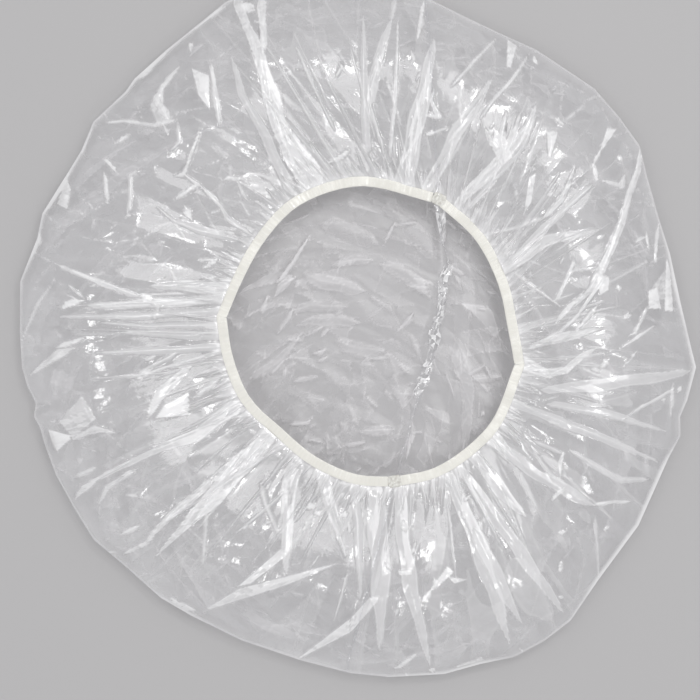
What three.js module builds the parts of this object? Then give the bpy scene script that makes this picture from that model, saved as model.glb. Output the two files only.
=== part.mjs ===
// Disposable shower cap, lying on its crown with its mouth upward. Millimetres, +Z up.
// Two film leaves are welded along one seam that runs from side to side over the crown.
// Each leaf's open edge is hemmed over a stretched elastic tape, which gathers it into pleats.
import * as THREE from 'three';

// The cap as it lies
const RIM_RADIUS = 155; // mean radius of the outer fold
const MOUTH_RADIUS = 67; // mean radius of the elastic's middle line
const RIM_HEIGHT = 7; // widest line of the outer fold above the table
const CREST_HEIGHT = 24; // top of the puffed skirt
const MOUTH_HEIGHT = 17; // middle of the elastic
const ROLL_REACH = 16; // how far in from the rim the crown starts to rise
const CREST_REACH = 45; // how far in from the rim the skirt is highest

// Film, elastic and welds
const FILM_WALL = 0.6;
const TAPE_WIDTH = 4.6;
const TAPE_THICKNESS = 0.8;
const HEM_WALL = 0.4;
const SEAM_WIDTH = 1.2;
const SIDE_WELD_LENGTH = 5;
const CLEARANCE = 0.3; // between touching pieces

// Pleats of the gathered skirt
const PLEATS_PER_LEAF = 24;
const PLEAT_DEPTH = 5; // ridge to valley at the hem
const PLEAT_LENGTH_SPREAD = 0.25; // the longest and shortest pleat differ by twice this share of the skirt
const PLEAT_LENGTH_STEP = 2.4; // radians from one pleat's length to the next

// Corners of the outer fold: angle from +X in degrees, and millimetres beyond the mean radius
const RIM_CORNERS = [
  [0, -3.5], [12, -8], [37, 1], [60, -0.5], [90, 4], [115, 8], [135, 1], [150, 0.5], [170, 3.5],
  [190, -0.5], [210, 0], [230, -3], [250, -4], [270, 0], [285, 5.5], [300, 9.5], [315, 3.5],
  [330, 0.5], [345, -1.5], [355, -0.5], [360, -3.5],
];

// Each leaf's elastic in two arcs, which meet at the sharp packing crease in its middle
const LEFT_MOUTH = [
  [[60, 4.5], [90, 3], [115, 0.5], [135, -3.5], [155, -5.5], [173, -3]],
  [[173, -3], [190, -5.5], [210, -6.5], [230, -8.5], [250, -5], [268, -0.5], [283, 2.5]],
];
const RIGHT_MOUTH = [
  [[283, 2.5], [300, 5.5], [325, 7.5], [349, 7.5]],
  [[349, 7.5], [360, 3.5], [380, 2.5], [400, 3.5], [420, 4.5]],
];

// The weld seam: where it crosses the rim, in degrees, and where it bends in the crown
const SEAM_BACK_ANGLE = 79;
const SEAM_FRONT_ANGLE = 267.5;
const SEAM_BEND = new THREE.Vector2(39, 20);

// Sizes that follow from the ones above
const HEM_HEIGHT = TAPE_THICKNESS + 2 * (CLEARANCE + HEM_WALL);
const HEM_WIDTH = TAPE_WIDTH + 2 * (CLEARANCE + HEM_WALL);
const LEAF_TO_SEAM = SEAM_WIDTH / 2 + CLEARANCE;
const HEM_END = SIDE_WELD_LENGTH / 2 + CLEARANCE;
const FILM_MIDDLE = FILM_WALL / 2;
const STEPS_PER_ARC = PLEATS_PER_LEAF; // two arcs a leaf, and a ridge and a valley a pleat
const SEAM_SIDES = 8;

const film = new THREE.MeshStandardMaterial({
  color: 0xc4c2c6, roughness: 0.18, metalness: 0, transparent: true, opacity: 0.4,
});
const weldedFilm = new THREE.MeshStandardMaterial({
  color: 0xd6d5d8, roughness: 0.3, metalness: 0, transparent: true, opacity: 0.6,
});
const elastic = new THREE.MeshStandardMaterial({ color: 0xe6e3d8, roughness: 0.7, metalness: 0 });

function flatPoint(radius, angle) {
  const turn = THREE.MathUtils.degToRad(angle);
  return new THREE.Vector2(radius * Math.cos(turn), radius * Math.sin(turn));
}

// The rim at an angle: the corner offsets, joined in a straight run from corner to corner.
function rimPoint(angle) {
  const turned = THREE.MathUtils.euclideanModulo(angle, 360);
  const next = RIM_CORNERS.findIndex(([cornerAngle]) => cornerAngle > turned);
  const [fromAngle, fromOffset] = RIM_CORNERS[next - 1];
  const [toAngle, toOffset] = RIM_CORNERS[next];
  const share = (turned - fromAngle) / (toAngle - fromAngle);
  return flatPoint(RIM_RADIUS + THREE.MathUtils.lerp(fromOffset, toOffset, share), turned);
}

// A smooth curve through one arc of a leaf's elastic.
function mouthArc(points) {
  const path = points.map(([angle, offset]) => {
    const { x, y } = flatPoint(MOUTH_RADIUS + offset, angle);
    return new THREE.Vector3(x, y, MOUTH_HEIGHT);
  });
  return new THREE.CatmullRomCurve3(path, false, 'centripetal');
}

// Points along one leaf's elastic, evenly spaced on each side of its crease, short of both ends.
function tapeStations(arcs, startGap, endGap) {
  const stations = [];
  arcs.forEach((arc, which) => {
    const length = arc.getLength();
    const start = which === 0 ? startGap / length : 0;
    const end = which === arcs.length - 1 ? 1 - endGap / length : 1;
    for (let step = which === 0 ? 0 : 1; step <= STEPS_PER_ARC; step += 1) {
      stations.push(arc.getPointAt(THREE.MathUtils.lerp(start, end, step / STEPS_PER_ARC)));
    }
  });
  return stations;
}

// A path whose extrusion steps fall exactly on its points.
class StationPath extends THREE.Curve {
  constructor(points) {
    super();
    this.points = points;
  }

  stationAt(share) {
    return Math.round(share * (this.points.length - 1));
  }

  getPointAt(share, target = new THREE.Vector3()) {
    return target.copy(this.points[this.stationAt(share)]);
  }

  getTangentAt(share, target = new THREE.Vector3()) {
    const here = this.stationAt(share);
    const before = this.points[Math.max(here - 1, 0)];
    const after = this.points[Math.min(here + 1, this.points.length - 1)];
    return target.subVectors(after, before).normalize();
  }
}

function sweep(section, points) {
  return new THREE.ExtrudeGeometry(section, {
    extrudePath: new StationPath(points),
    steps: points.length - 1,
  });
}

// Sections of the level elastic: the first axis is its height, the second its width.
function rectangle(height, width) {
  return new THREE.Shape([
    new THREE.Vector2(-height / 2, -width / 2),
    new THREE.Vector2(height / 2, -width / 2),
    new THREE.Vector2(height / 2, width / 2),
    new THREE.Vector2(-height / 2, width / 2),
  ]);
}

function sleeve() {
  const outside = rectangle(HEM_HEIGHT, HEM_WIDTH);
  outside.holes.push(rectangle(HEM_HEIGHT - 2 * HEM_WALL, HEM_WIDTH - 2 * HEM_WALL));
  return outside;
}

// Points beside the elastic, outside it, at a distance from its middle line.
function besideTape(stations, distance) {
  const path = new StationPath(stations);
  return stations.map((station, index) => {
    const along = path.getTangentAt(index / (stations.length - 1));
    return new THREE.Vector2(station.x + along.y * distance, station.y - along.x * distance);
  });
}

// Rows of the film from the crown to the hem. The crown is flat, rolls up to the rim in a quarter
// ellipse, rises to the crest in another, and falls to the hem in an eased curve.
const ROWS = [
  { zone: 'flat', share: 0.45 },
  { zone: 'flat', share: 0.8 },
  { zone: 'roll', turn: 0 },
  { zone: 'roll', turn: 30 },
  { zone: 'roll', turn: 60 },
  { zone: 'roll', turn: 90 },
  { zone: 'rise', turn: 25 },
  { zone: 'rise', turn: 55 },
  { zone: 'rise', turn: 90 },
  { zone: 'fall', share: 0.35 },
  { zone: 'fall', share: 0.7 },
  { zone: 'fall', share: 1 },
];

// One point of the film's middle surface, its outward normal, and how far up the skirt it lies.
function meridian(row, pole, rim, hem) {
  const outward = rim.clone().sub(pole).normalize();
  const inward = hem.clone().sub(rim);
  const skirt = inward.length();
  inward.normalize();
  const turn = THREE.MathUtils.degToRad(row.turn ?? 0);
  if (row.zone === 'flat') {
    const end = rim.clone().addScaledVector(outward, -ROLL_REACH);
    const place = pole.clone().lerp(end, row.share);
    return { place, height: FILM_MIDDLE, normal: new THREE.Vector3(0, 0, -1), skirtShare: 0 };
  }
  if (row.zone === 'roll') {
    const rollHeight = RIM_HEIGHT - FILM_MIDDLE;
    const place = rim.clone().addScaledVector(outward, -ROLL_REACH * (1 - Math.sin(turn)));
    const sideways = outward.clone().multiplyScalar(Math.sin(turn) / ROLL_REACH);
    const normal = new THREE.Vector3(sideways.x, sideways.y, -Math.cos(turn) / rollHeight).normalize();
    return { place, height: RIM_HEIGHT - rollHeight * Math.cos(turn), normal, skirtShare: 0 };
  }
  if (row.zone === 'rise') {
    const riseHeight = CREST_HEIGHT - RIM_HEIGHT;
    const reach = CREST_REACH * (1 - Math.cos(turn));
    const place = rim.clone().addScaledVector(inward, reach);
    const sideways = inward.clone().multiplyScalar(-Math.cos(turn) / CREST_REACH);
    const normal = new THREE.Vector3(sideways.x, sideways.y, Math.sin(turn) / riseHeight).normalize();
    return { place, height: RIM_HEIGHT + riseHeight * Math.sin(turn), normal, skirtShare: reach / skirt };
  }
  const fallHeight = CREST_HEIGHT - MOUTH_HEIGHT;
  const fallReach = skirt - CREST_REACH;
  const reach = CREST_REACH + fallReach * row.share;
  const slope = fallHeight * Math.PI / 2 / fallReach * Math.sin(Math.PI * row.share);
  return {
    place: rim.clone().addScaledVector(inward, reach),
    height: MOUTH_HEIGHT + fallHeight * (1 + Math.cos(Math.PI * row.share)) / 2,
    normal: new THREE.Vector3(inward.x * slope, inward.y * slope, 1).normalize(),
    skirtShare: reach / skirt,
  };
}

// Height of the pleats above the smooth skirt: ridges and valleys take turns from column to column,
// are deepest at the hem and run out towards the rim, some sooner than others.
function pleatHeight(column, skirtShare) {
  const length = 1 - PLEAT_LENGTH_SPREAD * (1 - Math.cos(column * PLEAT_LENGTH_STEP));
  const fade = Math.max(0, 1 - (1 - skirtShare) / length);
  const side = column % 2 === 0 ? -1 : 1;
  return side * fade * PLEAT_DEPTH / 2;
}

// A sheet with two faces and closed edges, on a fan of columns that all start at one pole.
// place(column, row, side) gives a point, with side 1 outside and -1 inside, and row -1 the pole.
function thickSheet(columns, rows, place) {
  const positions = [];
  const sides = [1, -1];
  for (const side of sides) {
    positions.push(place(0, -1, side));
    for (let row = 0; row < rows; row += 1) {
      for (let column = 0; column <= columns; column += 1) {
        positions.push(place(column, row, side));
      }
    }
  }
  const perSide = positions.length / sides.length;
  const corner = (column, row, side) => {
    const within = row < 0 ? 0 : 1 + row * (columns + 1) + column;
    return (side > 0 ? 0 : perSide) + within;
  };
  const index = [];
  const quad = (a, b, c, d) => index.push(a, b, c, a, c, d);
  for (let column = 0; column < columns; column += 1) {
    index.push(corner(0, -1, 1), corner(column + 1, 0, 1), corner(column, 0, 1));
    index.push(corner(0, -1, -1), corner(column, 0, -1), corner(column + 1, 0, -1));
    for (let row = 0; row < rows - 1; row += 1) {
      const out = (c, r) => corner(column + c, row + r, 1);
      const inn = (c, r) => corner(column + c, row + r, -1);
      quad(out(0, 0), out(1, 0), out(1, 1), out(0, 1));
      quad(inn(0, 1), inn(1, 1), inn(1, 0), inn(0, 0));
    }
    const last = rows - 1;
    quad(corner(column, last, 1), corner(column + 1, last, 1),
      corner(column + 1, last, -1), corner(column, last, -1));
  }
  for (let row = -1; row < rows - 1; row += 1) {
    quad(corner(0, row, 1), corner(0, row + 1, 1), corner(0, row + 1, -1), corner(0, row, -1));
    quad(corner(columns, row + 1, 1), corner(columns, row, 1),
      corner(columns, row, -1), corner(columns, row + 1, -1));
  }
  const geometry = new THREE.BufferGeometry();
  geometry.setFromPoints(positions);
  geometry.setIndex(index);
  geometry.computeVertexNormals();
  return geometry;
}

// How far along the elastic a leaf starts, so that its edge keeps its distance from the seam.
function gapAlongTape(arc, share, rim) {
  const along = arc.getTangentAt(share);
  const join = arc.getPointAt(share);
  const seamRun = rim.clone().sub(new THREE.Vector2(join.x, join.y)).normalize();
  return LEAF_TO_SEAM / Math.abs(along.x * seamRun.y - along.y * seamRun.x);
}

// One film leaf: half of the crown, the outer fold and half of the gathered skirt.
// The leaf runs counter-clockwise from one seam angle to the other, on one side of the seam.
function filmLeaf(arcs, fromAngle, toAngle, seamSide) {
  const columns = arcs.length * STEPS_PER_ARC;
  const lastArc = arcs[arcs.length - 1];
  const pole = SEAM_BEND.clone().add(new THREE.Vector2(seamSide * LEAF_TO_SEAM, 0));
  const startGap = gapAlongTape(arcs[0], 0, rimPoint(fromAngle));
  const endGap = gapAlongTape(lastArc, 1, rimPoint(toAngle));
  const hem = besideTape(tapeStations(arcs, startGap, endGap), HEM_WIDTH / 2 + CLEARANCE);
  const inset = THREE.MathUtils.radToDeg(LEAF_TO_SEAM / RIM_RADIUS);
  const rim = hem.map((_, column) => {
    return rimPoint(THREE.MathUtils.lerp(fromAngle + inset, toAngle - inset, column / columns));
  });
  return thickSheet(columns, ROWS.length, (column, row, side) => {
    if (row < 0) {
      return new THREE.Vector3(pole.x, pole.y, FILM_MIDDLE - side * FILM_MIDDLE);
    }
    const middle = meridian(ROWS[row], pole, rim[column], hem[column]);
    const height = middle.height + pleatHeight(column, middle.skirtShare);
    const point = new THREE.Vector3(middle.place.x, middle.place.y, height);
    return point.addScaledVector(middle.normal, side * FILM_MIDDLE);
  });
}

// One side of the seam's path, from the bend in the crown over the rim to the side weld.
function seamRun(arc, share, rimAngle) {
  const rim = rimPoint(rimAngle);
  const join = arc.getPointAt(share);
  const seamEnd = new THREE.Vector2(join.x, join.y);
  const outward = rim.clone().sub(seamEnd).normalize();
  seamEnd.addScaledVector(outward, HEM_WIDTH / 2 + CLEARANCE + SEAM_WIDTH / 2);
  return ROWS.map((row) => {
    const { place, height } = meridian(row, SEAM_BEND, rim, seamEnd);
    return new THREE.Vector3(place.x, place.y, Math.max(height, SEAM_WIDTH / 2));
  });
}

function seamBead(back, front) {
  const bend = new THREE.Vector3(SEAM_BEND.x, SEAM_BEND.y, SEAM_WIDTH / 2);
  const circle = new THREE.Path().absarc(0, 0, SEAM_WIDTH / 2, 0, 2 * Math.PI);
  return sweep(new THREE.Shape(circle.getPoints(SEAM_SIDES)), [...back.reverse(), bend, ...front]);
}

// A fused tab across the place where the two elastics meet.
function sideWeld(arcBefore, arcAfter) {
  const before = arcBefore.getPointAt(1 - SIDE_WELD_LENGTH / 2 / arcBefore.getLength());
  const after = arcAfter.getPointAt(SIDE_WELD_LENGTH / 2 / arcAfter.getLength());
  return sweep(rectangle(HEM_HEIGHT, HEM_WIDTH), [before, arcAfter.getPointAt(0), after]);
}

const leftArcs = LEFT_MOUTH.map(mouthArc);
const rightArcs = RIGHT_MOUTH.map(mouthArc);
const leftTape = tapeStations(leftArcs, HEM_END, HEM_END);
const rightTape = tapeStations(rightArcs, HEM_END, HEM_END);
const tapeSection = rectangle(TAPE_THICKNESS, TAPE_WIDTH);
const backSeam = seamRun(leftArcs[0], 0, SEAM_BACK_ANGLE);
const frontSeam = seamRun(rightArcs[0], 0, SEAM_FRONT_ANGLE);

const cap = new THREE.Group();

function add(name, geometry, material) {
  const mesh = new THREE.Mesh(geometry, material);
  mesh.name = name;
  cap.add(mesh);
}

add('left_panel', filmLeaf(leftArcs, SEAM_BACK_ANGLE, SEAM_FRONT_ANGLE, -1), film);
add('right_panel', filmLeaf(rightArcs, SEAM_FRONT_ANGLE, SEAM_BACK_ANGLE + 360, 1), film);
add('crown_seam', seamBead(backSeam, frontSeam), weldedFilm);
add('left_hem', sweep(sleeve(), leftTape), film);
add('right_hem', sweep(sleeve(), rightTape), film);
add('left_elastic', sweep(tapeSection, leftTape), elastic);
add('right_elastic', sweep(tapeSection, rightTape), elastic);
add('back_side_weld', sideWeld(rightArcs[rightArcs.length - 1], leftArcs[0]), weldedFilm);
add('front_side_weld', sideWeld(leftArcs[leftArcs.length - 1], rightArcs[0]), weldedFilm);

// The origin is under the middle of the cap.
const bounds = new THREE.Box3().setFromObject(cap);
const middle = bounds.getCenter(new THREE.Vector3());
cap.position.set(-middle.x, -middle.y, -bounds.min.z);

export default cap;
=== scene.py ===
import math

import bpy
import numpy as np
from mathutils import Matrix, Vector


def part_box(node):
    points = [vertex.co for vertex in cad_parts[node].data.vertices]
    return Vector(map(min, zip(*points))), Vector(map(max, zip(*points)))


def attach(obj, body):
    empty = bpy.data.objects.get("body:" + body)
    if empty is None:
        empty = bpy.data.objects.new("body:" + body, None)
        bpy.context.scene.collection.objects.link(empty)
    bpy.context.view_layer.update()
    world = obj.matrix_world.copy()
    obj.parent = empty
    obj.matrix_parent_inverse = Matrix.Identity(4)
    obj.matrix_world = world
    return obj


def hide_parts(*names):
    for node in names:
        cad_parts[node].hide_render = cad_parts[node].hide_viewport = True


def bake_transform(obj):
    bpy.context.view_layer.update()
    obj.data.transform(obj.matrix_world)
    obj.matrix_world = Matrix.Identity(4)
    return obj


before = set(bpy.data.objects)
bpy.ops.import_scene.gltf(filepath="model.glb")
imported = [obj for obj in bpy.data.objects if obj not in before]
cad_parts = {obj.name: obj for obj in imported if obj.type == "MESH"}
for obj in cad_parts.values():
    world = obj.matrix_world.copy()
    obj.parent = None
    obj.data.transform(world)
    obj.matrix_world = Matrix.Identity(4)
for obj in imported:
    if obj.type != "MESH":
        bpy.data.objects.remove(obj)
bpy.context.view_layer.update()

# Crown film.
# The cap is two leaves of clear polyethylene film, about 0.03 mm thick, cut as half-moons. The inner half of
# each leaf lies on the table as the crown, full of soft packing wrinkles, and rolls up at the outer fold.

RANDOM_SEED = 11
draw = np.random.default_rng(RANDOM_SEED)

PIXEL = 0.00046            # metres on the table for one pixel of the photograph
PIXEL_MIDDLE = (356, 332)  # the pixel of the photograph over the cap's origin
MILLIMETRE = 0.001
SIDES = ("left", "right")

CROWN_COLUMNS = {"left": 420, "right": 480}
CROWN_ROWS = {"left": 228, "right": 200}
ROW_CROWDING = 0.3         # how far the rows crowd towards the seam
SEAM_SLIT = 0.00012        # share of the leaf's width left free at each tip, under the seam
SEAM_EASE = 0.012          # how far to each side of its bend the seam is eased
SEAM_EASE_STEPS = 15
SEAM_FLAT = 1.6 * MILLIMETRE  # the seam's corners below this height lie on the table
ROLL_REACH = 0.028         # how far in from the outer fold the crown starts to turn up
FILM_LIFT = 0.0002         # the flat film's height over the table
STILL_SHARE = 0.2          # the inner share of the crown that stays when the mouth is lifted
SINGLE_HAZE = 0.11         # share of light that one layer of film scatters
CROWN_CLARITY = 0.6        # the crown lies flat and shows less haze for each layer
CROWN_TINT = (0.90, 0.88, 0.89)


def on_table(pixels):
    """Points in pixels of the photograph as places on the table, scaled from the middle pixel with rows
    turned up."""
    return (np.array(pixels, float) - PIXEL_MIDDLE) * (PIXEL, -PIXEL)


def ease(t):
    """A smooth step from 0 to 1: three times the square less twice the cube."""
    t = np.clip(t, 0, 1)
    return t * t * (3 - 2 * t)


def node_corners(name):
    """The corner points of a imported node, each one once, as rows of x, y and z."""
    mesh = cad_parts[name].data
    flat = np.empty(len(mesh.vertices) * 3)
    mesh.vertices.foreach_get("co", flat)
    return np.unique(np.round(flat.reshape(-1, 3), 6), axis=0)


def bearing(points, start=0.0):
    """The angle of each point round the origin, counted upwards from just before start."""
    slack = 0.1
    angle = np.arctan2(points[:, 1], points[:, 0])
    return np.mod(angle - start + slack, 2 * np.pi) + start - slack


def tape_line(name, middle, start):
    """The middle of an elastic at each of its stations. Every four corners met in turn round the mouth are
    one section, and their mean is its middle."""
    corners = node_corners(name)
    order = np.argsort(bearing(corners[:, :2] - middle, start))
    return corners[order].reshape(-1, 4, 3).mean(1)


def along_line(line, share):
    """The points at given shares of a line's length, by straight runs between its points."""
    steps = np.hypot(np.diff(line[:, 0]), np.diff(line[:, 1]))
    length = np.concatenate([[0.0], np.cumsum(steps)])
    return np.stack([np.interp(share * length[-1], length, line[:, k]) for k in range(line.shape[1])], 1)


def box_middle(name):
    """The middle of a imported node's box, seen from above."""
    low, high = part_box(name)
    return np.array([(low[0] + high[0]) / 2, (low[1] + high[1]) / 2])


leaf_corners = np.vstack([node_corners("left_panel"), node_corners("right_panel")])
leaf_reach = np.hypot(leaf_corners[:, 0], leaf_corners[:, 1])
rim_height = leaf_corners[leaf_reach.argmax(), 2]
mouth_low = np.minimum(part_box("left_elastic")[0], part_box("right_elastic")[0])
mouth_high = np.maximum(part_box("left_elastic")[1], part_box("right_elastic")[1])
mouth_middle = (mouth_low[:2] + mouth_high[:2]) / 2
mouth_height = (mouth_low[2] + mouth_high[2]) / 2
back_join = box_middle("back_side_weld")
front_join = box_middle("front_side_weld")
back_bearing = bearing((back_join - mouth_middle)[None])[0]
front_bearing = bearing((front_join - mouth_middle)[None])[0]
tape_lines = {
    "left": tape_line("left_elastic", mouth_middle, back_bearing),
    "right": tape_line("right_elastic", mouth_middle, front_bearing),
}

RIM_EASE = 0.7 * MILLIMETRE  # the fold lies low, so it is this much larger than it looks
RIM_POINTS = 3000
RIM_CORNERS = [  # the outer fold's corners, in pixels of the photograph
    (350, -14), (300, -13), (262, -10), (240, -6), (225, 2), (192, 29), (166, 50), (134, 79), (125, 92),
    (93, 122), (81, 151), (67, 174), (42, 214), (37, 239), (20, 282), (20, 335), (22, 368), (27, 386),
    (36, 404), (34, 417), (40, 428), (46, 448), (56, 475), (74, 508), (94, 540), (125, 566), (161, 598),
    (192, 616), (241, 640), (300, 660), (350, 673), (390, 677), (444, 674), (480, 664), (514, 657),
    (544, 641), (570, 621), (598, 580), (638, 526), (668, 459), (680, 437), (680, 417), (687, 401),
    (696, 368), (691, 348), (680, 301), (670, 254), (659, 219), (647, 176), (640, 146), (620, 118),
    (595, 89), (573, 74), (537, 50), (506, 36), (470, 19), (432, 0), (395, -9),
]
rim_outline = along_line(on_table(RIM_CORNERS + RIM_CORNERS[:1]), np.linspace(0, 1, RIM_POINTS))
rim_bearing = bearing(rim_outline)
rim_reach = np.hypot(rim_outline[:, 0], rim_outline[:, 1])


def rim_radius(angle):
    """The outer fold's distance from the middle, by straight runs from corner to corner."""
    return RIM_EASE + np.interp(angle, rim_bearing, rim_reach, period=2 * np.pi)


def fold_point(corner):
    """The place on the outer fold in the direction of a corner."""
    angle = np.arctan2(corner[1], corner[0])
    return rim_radius(angle) * np.array([np.cos(angle), np.sin(angle)])


seam_corners = node_corners("crown_seam")
seam_back = fold_point(seam_corners[seam_corners[:, 1].argmax()])
seam_front = fold_point(seam_corners[seam_corners[:, 1].argmin()])
seam_low = seam_corners[seam_corners[:, 2] < SEAM_FLAT]
seam_bend = seam_low[seam_low[:, 0].argmax(), :2]


def from_fold(plan):
    """How far in from the outer fold each place lies, measured towards the middle."""
    return rim_radius(np.arctan2(plan[..., 1], plan[..., 0])) - np.hypot(plan[..., 0], plan[..., 1])


def rolled_up(plan):
    """The crown's height before its wrinkles: flat on the table, then up to the outer fold as the square of
    the way through its last stretch."""
    return FILM_LIFT + (rim_height - FILM_LIFT) * np.clip(1 - from_fold(plan) / ROLL_REACH, 0, 1) ** 2


def lift_share(plan):
    """How far a place follows the mouth when it is lifted: none in the inner fifth of the way from the
    middle to the outer fold, then an eased rise to all at the fold."""
    reach = np.hypot(plan[..., 0], plan[..., 1])
    return ease((reach / (reach + from_fold(plan)) - STILL_SHARE) / (1 - STILL_SHARE))


def seam_points(share):
    """The crown seam from the back fold to the front fold: two straight runs with the corner between them
    eased."""
    y = seam_back[1] + (seam_front[1] - seam_back[1]) * share
    runs = np.array([seam_front, seam_bend, seam_back])
    shifts = np.linspace(-SEAM_EASE, SEAM_EASE, SEAM_EASE_STEPS)[:, None]
    x = np.interp(y[None] + shifts, runs[:, 1], runs[:, 0]).mean(0)
    return np.stack([x, y], 1)


def leaf_lines(columns, side):
    """One leaf's outer fold, mouth line and seam line, each with one point for every column."""
    share = np.linspace(SEAM_SLIT, 1 - SEAM_SLIT, columns + 1)
    back = np.arctan2(seam_back[1], seam_back[0])
    front = np.arctan2(seam_front[1], seam_front[0])
    if side == "left":
        angle = back + (front + 2 * np.pi - back) * share
        tape = tape_lines["left"]
    else:
        angle = back + (front - back) * share
        tape = tape_lines["right"][::-1]
    tape = along_line(np.vstack([[*back_join, mouth_height], tape, [*front_join, mouth_height]]), share)
    rim = rim_radius(angle)[:, None] * np.stack([np.cos(angle), np.sin(angle)], 1)
    return {"share": share, "rim": rim, "tape": tape, "seam": seam_points(share)}


DRAWN_LEAN = 0.4           # how far a drawn fold's ridge may lean to one side
SPREAD_LEAN = 0.55         # and that of a fold spread at random
FOLD_MARGIN = 2.2          # a fold touches no film further off than this many half-widths
WAVER = 0.15               # a fold's edges waver by this share of its width
WAVER_RUN = 0.0045         # over this length
WAVER_START = (40, 2)      # from a start that goes by the fold's lean, and that differs between its edges
NARROWEST = 1e-6           # half-width of a fold's very tip
TIP_LENGTH = 0.004         # a fold reaches its width over this length at each end
TIP_SHARE = 0.35           # but over no more than this share of its length
SOFT_ROUNDING = 0.4        # how far soft film rounds a fold
BROAD_FOLD = (0.0014, 0.0032)  # from the first half-width to the second, a ridge becomes a flat pleat
PLEAT_HEIGHT = 0.4         # a flat pleat's share of its rise
BRIGHT_LAYERS = 6.5        # from here to twice this many layers, a fold goes from even to crumpled; such a bright fold is a painted highlight
EDGE_BREAK = 0.12          # how far the crumpling eats into a bright fold's edges
GRAIN_MOST = 1.5           # the grain's greatest value
EDGE_STEEPNESS = 6         # how many times sooner than its height a fold's layers are full, in from its edge
RIDGE_LAYERS = (0.55, 0.75)  # a ridge's share of its layers all over, and the further share at its top
PLEAT_LAYERS = (0.75, 0.35)  # a pleat's share all over, and the further share at its edge
PLEAT_EDGE = (0.15, 0.1)   # that edge's place on the way in, and its width


def drawn_folds(folds, strength):
    """Folds drawn over the photograph, each as its rise in millimetres, its extra layers of haze, and
    points along it with the half-width there, in pixels. The layers are doubled film on the pleats and a
    painted highlight on the bright strokes. Turned into metres on the table, with the layers times strength."""
    ready = []
    for rise, layers, *points in folds:
        points = np.array(points, float)
        points = np.column_stack([on_table(points[:, :2]), points[:, 2] * PIXEL])
        ready.append((points, rise * MILLIMETRE, layers * strength, draw.uniform(-DRAWN_LEAN, DRAWN_LEAN)))
    return ready


def lay_folds(x, y, folds, soft, grain):
    """Adds folds to a sheet. A fold is a line of straight runs, and across it the film rises as a tent of
    the half-width there, whose ridge leans to one side and whose edges waver. It comes to a point at both
    ends. Returns the height and the extra layers of haze: doubled film on the pleats, and a painted
    highlight on the bright folds. A narrow fold is thickest along its ridge. A broad one is a flat pleat,
    thickest at its edges. Soft film rounds its folds, and other film has its bright folds crumpled by the
    grain."""
    height = np.zeros(x.size)
    layers = np.zeros(x.size)
    flat_x, flat_y = x.ravel(), y.ravel()
    for points, rise, film_and_glint_layers, lean in folds:
        margin = points[:, 2].max() * FOLD_MARGIN
        low, high = points[:, :2].min(0) - margin, points[:, :2].max(0) + margin
        near = np.nonzero((flat_x > low[0]) & (flat_x < high[0]) & (flat_y > low[1]) & (flat_y < high[1]))[0]
        steps = np.hypot(*np.diff(points[:, :2], axis=0).T)
        passed = np.concatenate([[0.0], np.cumsum(steps)])
        tip = min(TIP_LENGTH, TIP_SHARE * passed[-1])
        tent = np.zeros(near.size)
        for (x0, y0, wide0), (x1, y1, wide1), step, before in zip(points, points[1:], steps, passed):
            from_x, from_y = flat_x[near] - x0, flat_y[near] - y0
            along = np.clip((from_x * (x1 - x0) + from_y * (y1 - y0)) / step ** 2, 0, 1)
            left_side = from_x * (y1 - y0) < from_y * (x1 - x0)
            gap = np.hypot(from_x - along * (x1 - x0), from_y - along * (y1 - y0))
            place = before + along * step
            ends = np.clip(np.minimum(place, passed[-1] - place) / tip, 0, 1)
            start = WAVER_START[0] * lean + WAVER_START[1] * left_side
            waver = 1 + WAVER * np.sin(place / WAVER_RUN + start)
            half = (wide0 + (wide1 - wide0) * along) * ends * waver * np.where(left_side, 1 - lean, 1 + lean)
            tent = np.maximum(tent, np.clip(1 - gap / np.maximum(half, NARROWEST), 0, 1))
        tent = tent + (ease(tent) - tent) * SOFT_ROUNDING * soft
        broad = np.clip((points[:, 2].max() - BROAD_FOLD[0]) / (BROAD_FOLD[1] - BROAD_FOLD[0]), 0, 1)
        # a fold with more layers than BRIGHT_LAYERS is a painted highlight, its glint put in as haze and
        # crumpled by the grain
        bright = np.clip(film_and_glint_layers / BRIGHT_LAYERS - 1, 0, 1) * (1 - soft)
        tent = np.clip(tent - EDGE_BREAK * (GRAIN_MOST - grain.ravel()[near]) * bright, 0, 1)
        height[near] += rise * tent * (1 + (PLEAT_HEIGHT - 1) * broad)
        covered = np.clip(tent * EDGE_STEEPNESS, 0, 1)
        ridge = RIDGE_LAYERS[0] * covered + RIDGE_LAYERS[1] * tent ** 2
        bright_edge = np.exp(-(((tent - PLEAT_EDGE[0]) / PLEAT_EDGE[1]) ** 2))
        pleat = PLEAT_LAYERS[0] * covered + PLEAT_LAYERS[1] * bright_edge
        crumpled = 1 + (grain.ravel()[near] - 1) * bright
        layers[near] += film_and_glint_layers * crumpled * (ridge + (pleat - ridge) * broad)
    return height.reshape(x.shape), layers.reshape(x.shape)


def scatter_folds(points, direction, turn, length, wide, rise, film_and_glint_layers, taper):
    """Straight folds spread at random: each is centred on its point and runs along its direction, turned by
    up to turn. length, wide, rise and doubled are the least and greatest values, or length is one for each
    fold, and taper is the end's share of the width."""
    count = len(points)
    angle = np.arctan2(direction[:, 1], direction[:, 0]) + draw.uniform(-turn, turn, count)
    half_run = (length if len(length) == count else draw.uniform(*length, count)) / 2
    step = np.stack([np.cos(angle), np.sin(angle)], 1) * half_run[:, None]
    half = draw.uniform(*wide, count)[:, None]
    runs = np.stack([np.hstack([points - step, half]), np.hstack([points + step, half * taper])], 1)
    lean = draw.uniform(-SPREAD_LEAN, SPREAD_LEAN, count)
    return list(zip(runs, draw.uniform(*rise, count), draw.uniform(*film_and_glint_layers, count), lean))


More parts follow.
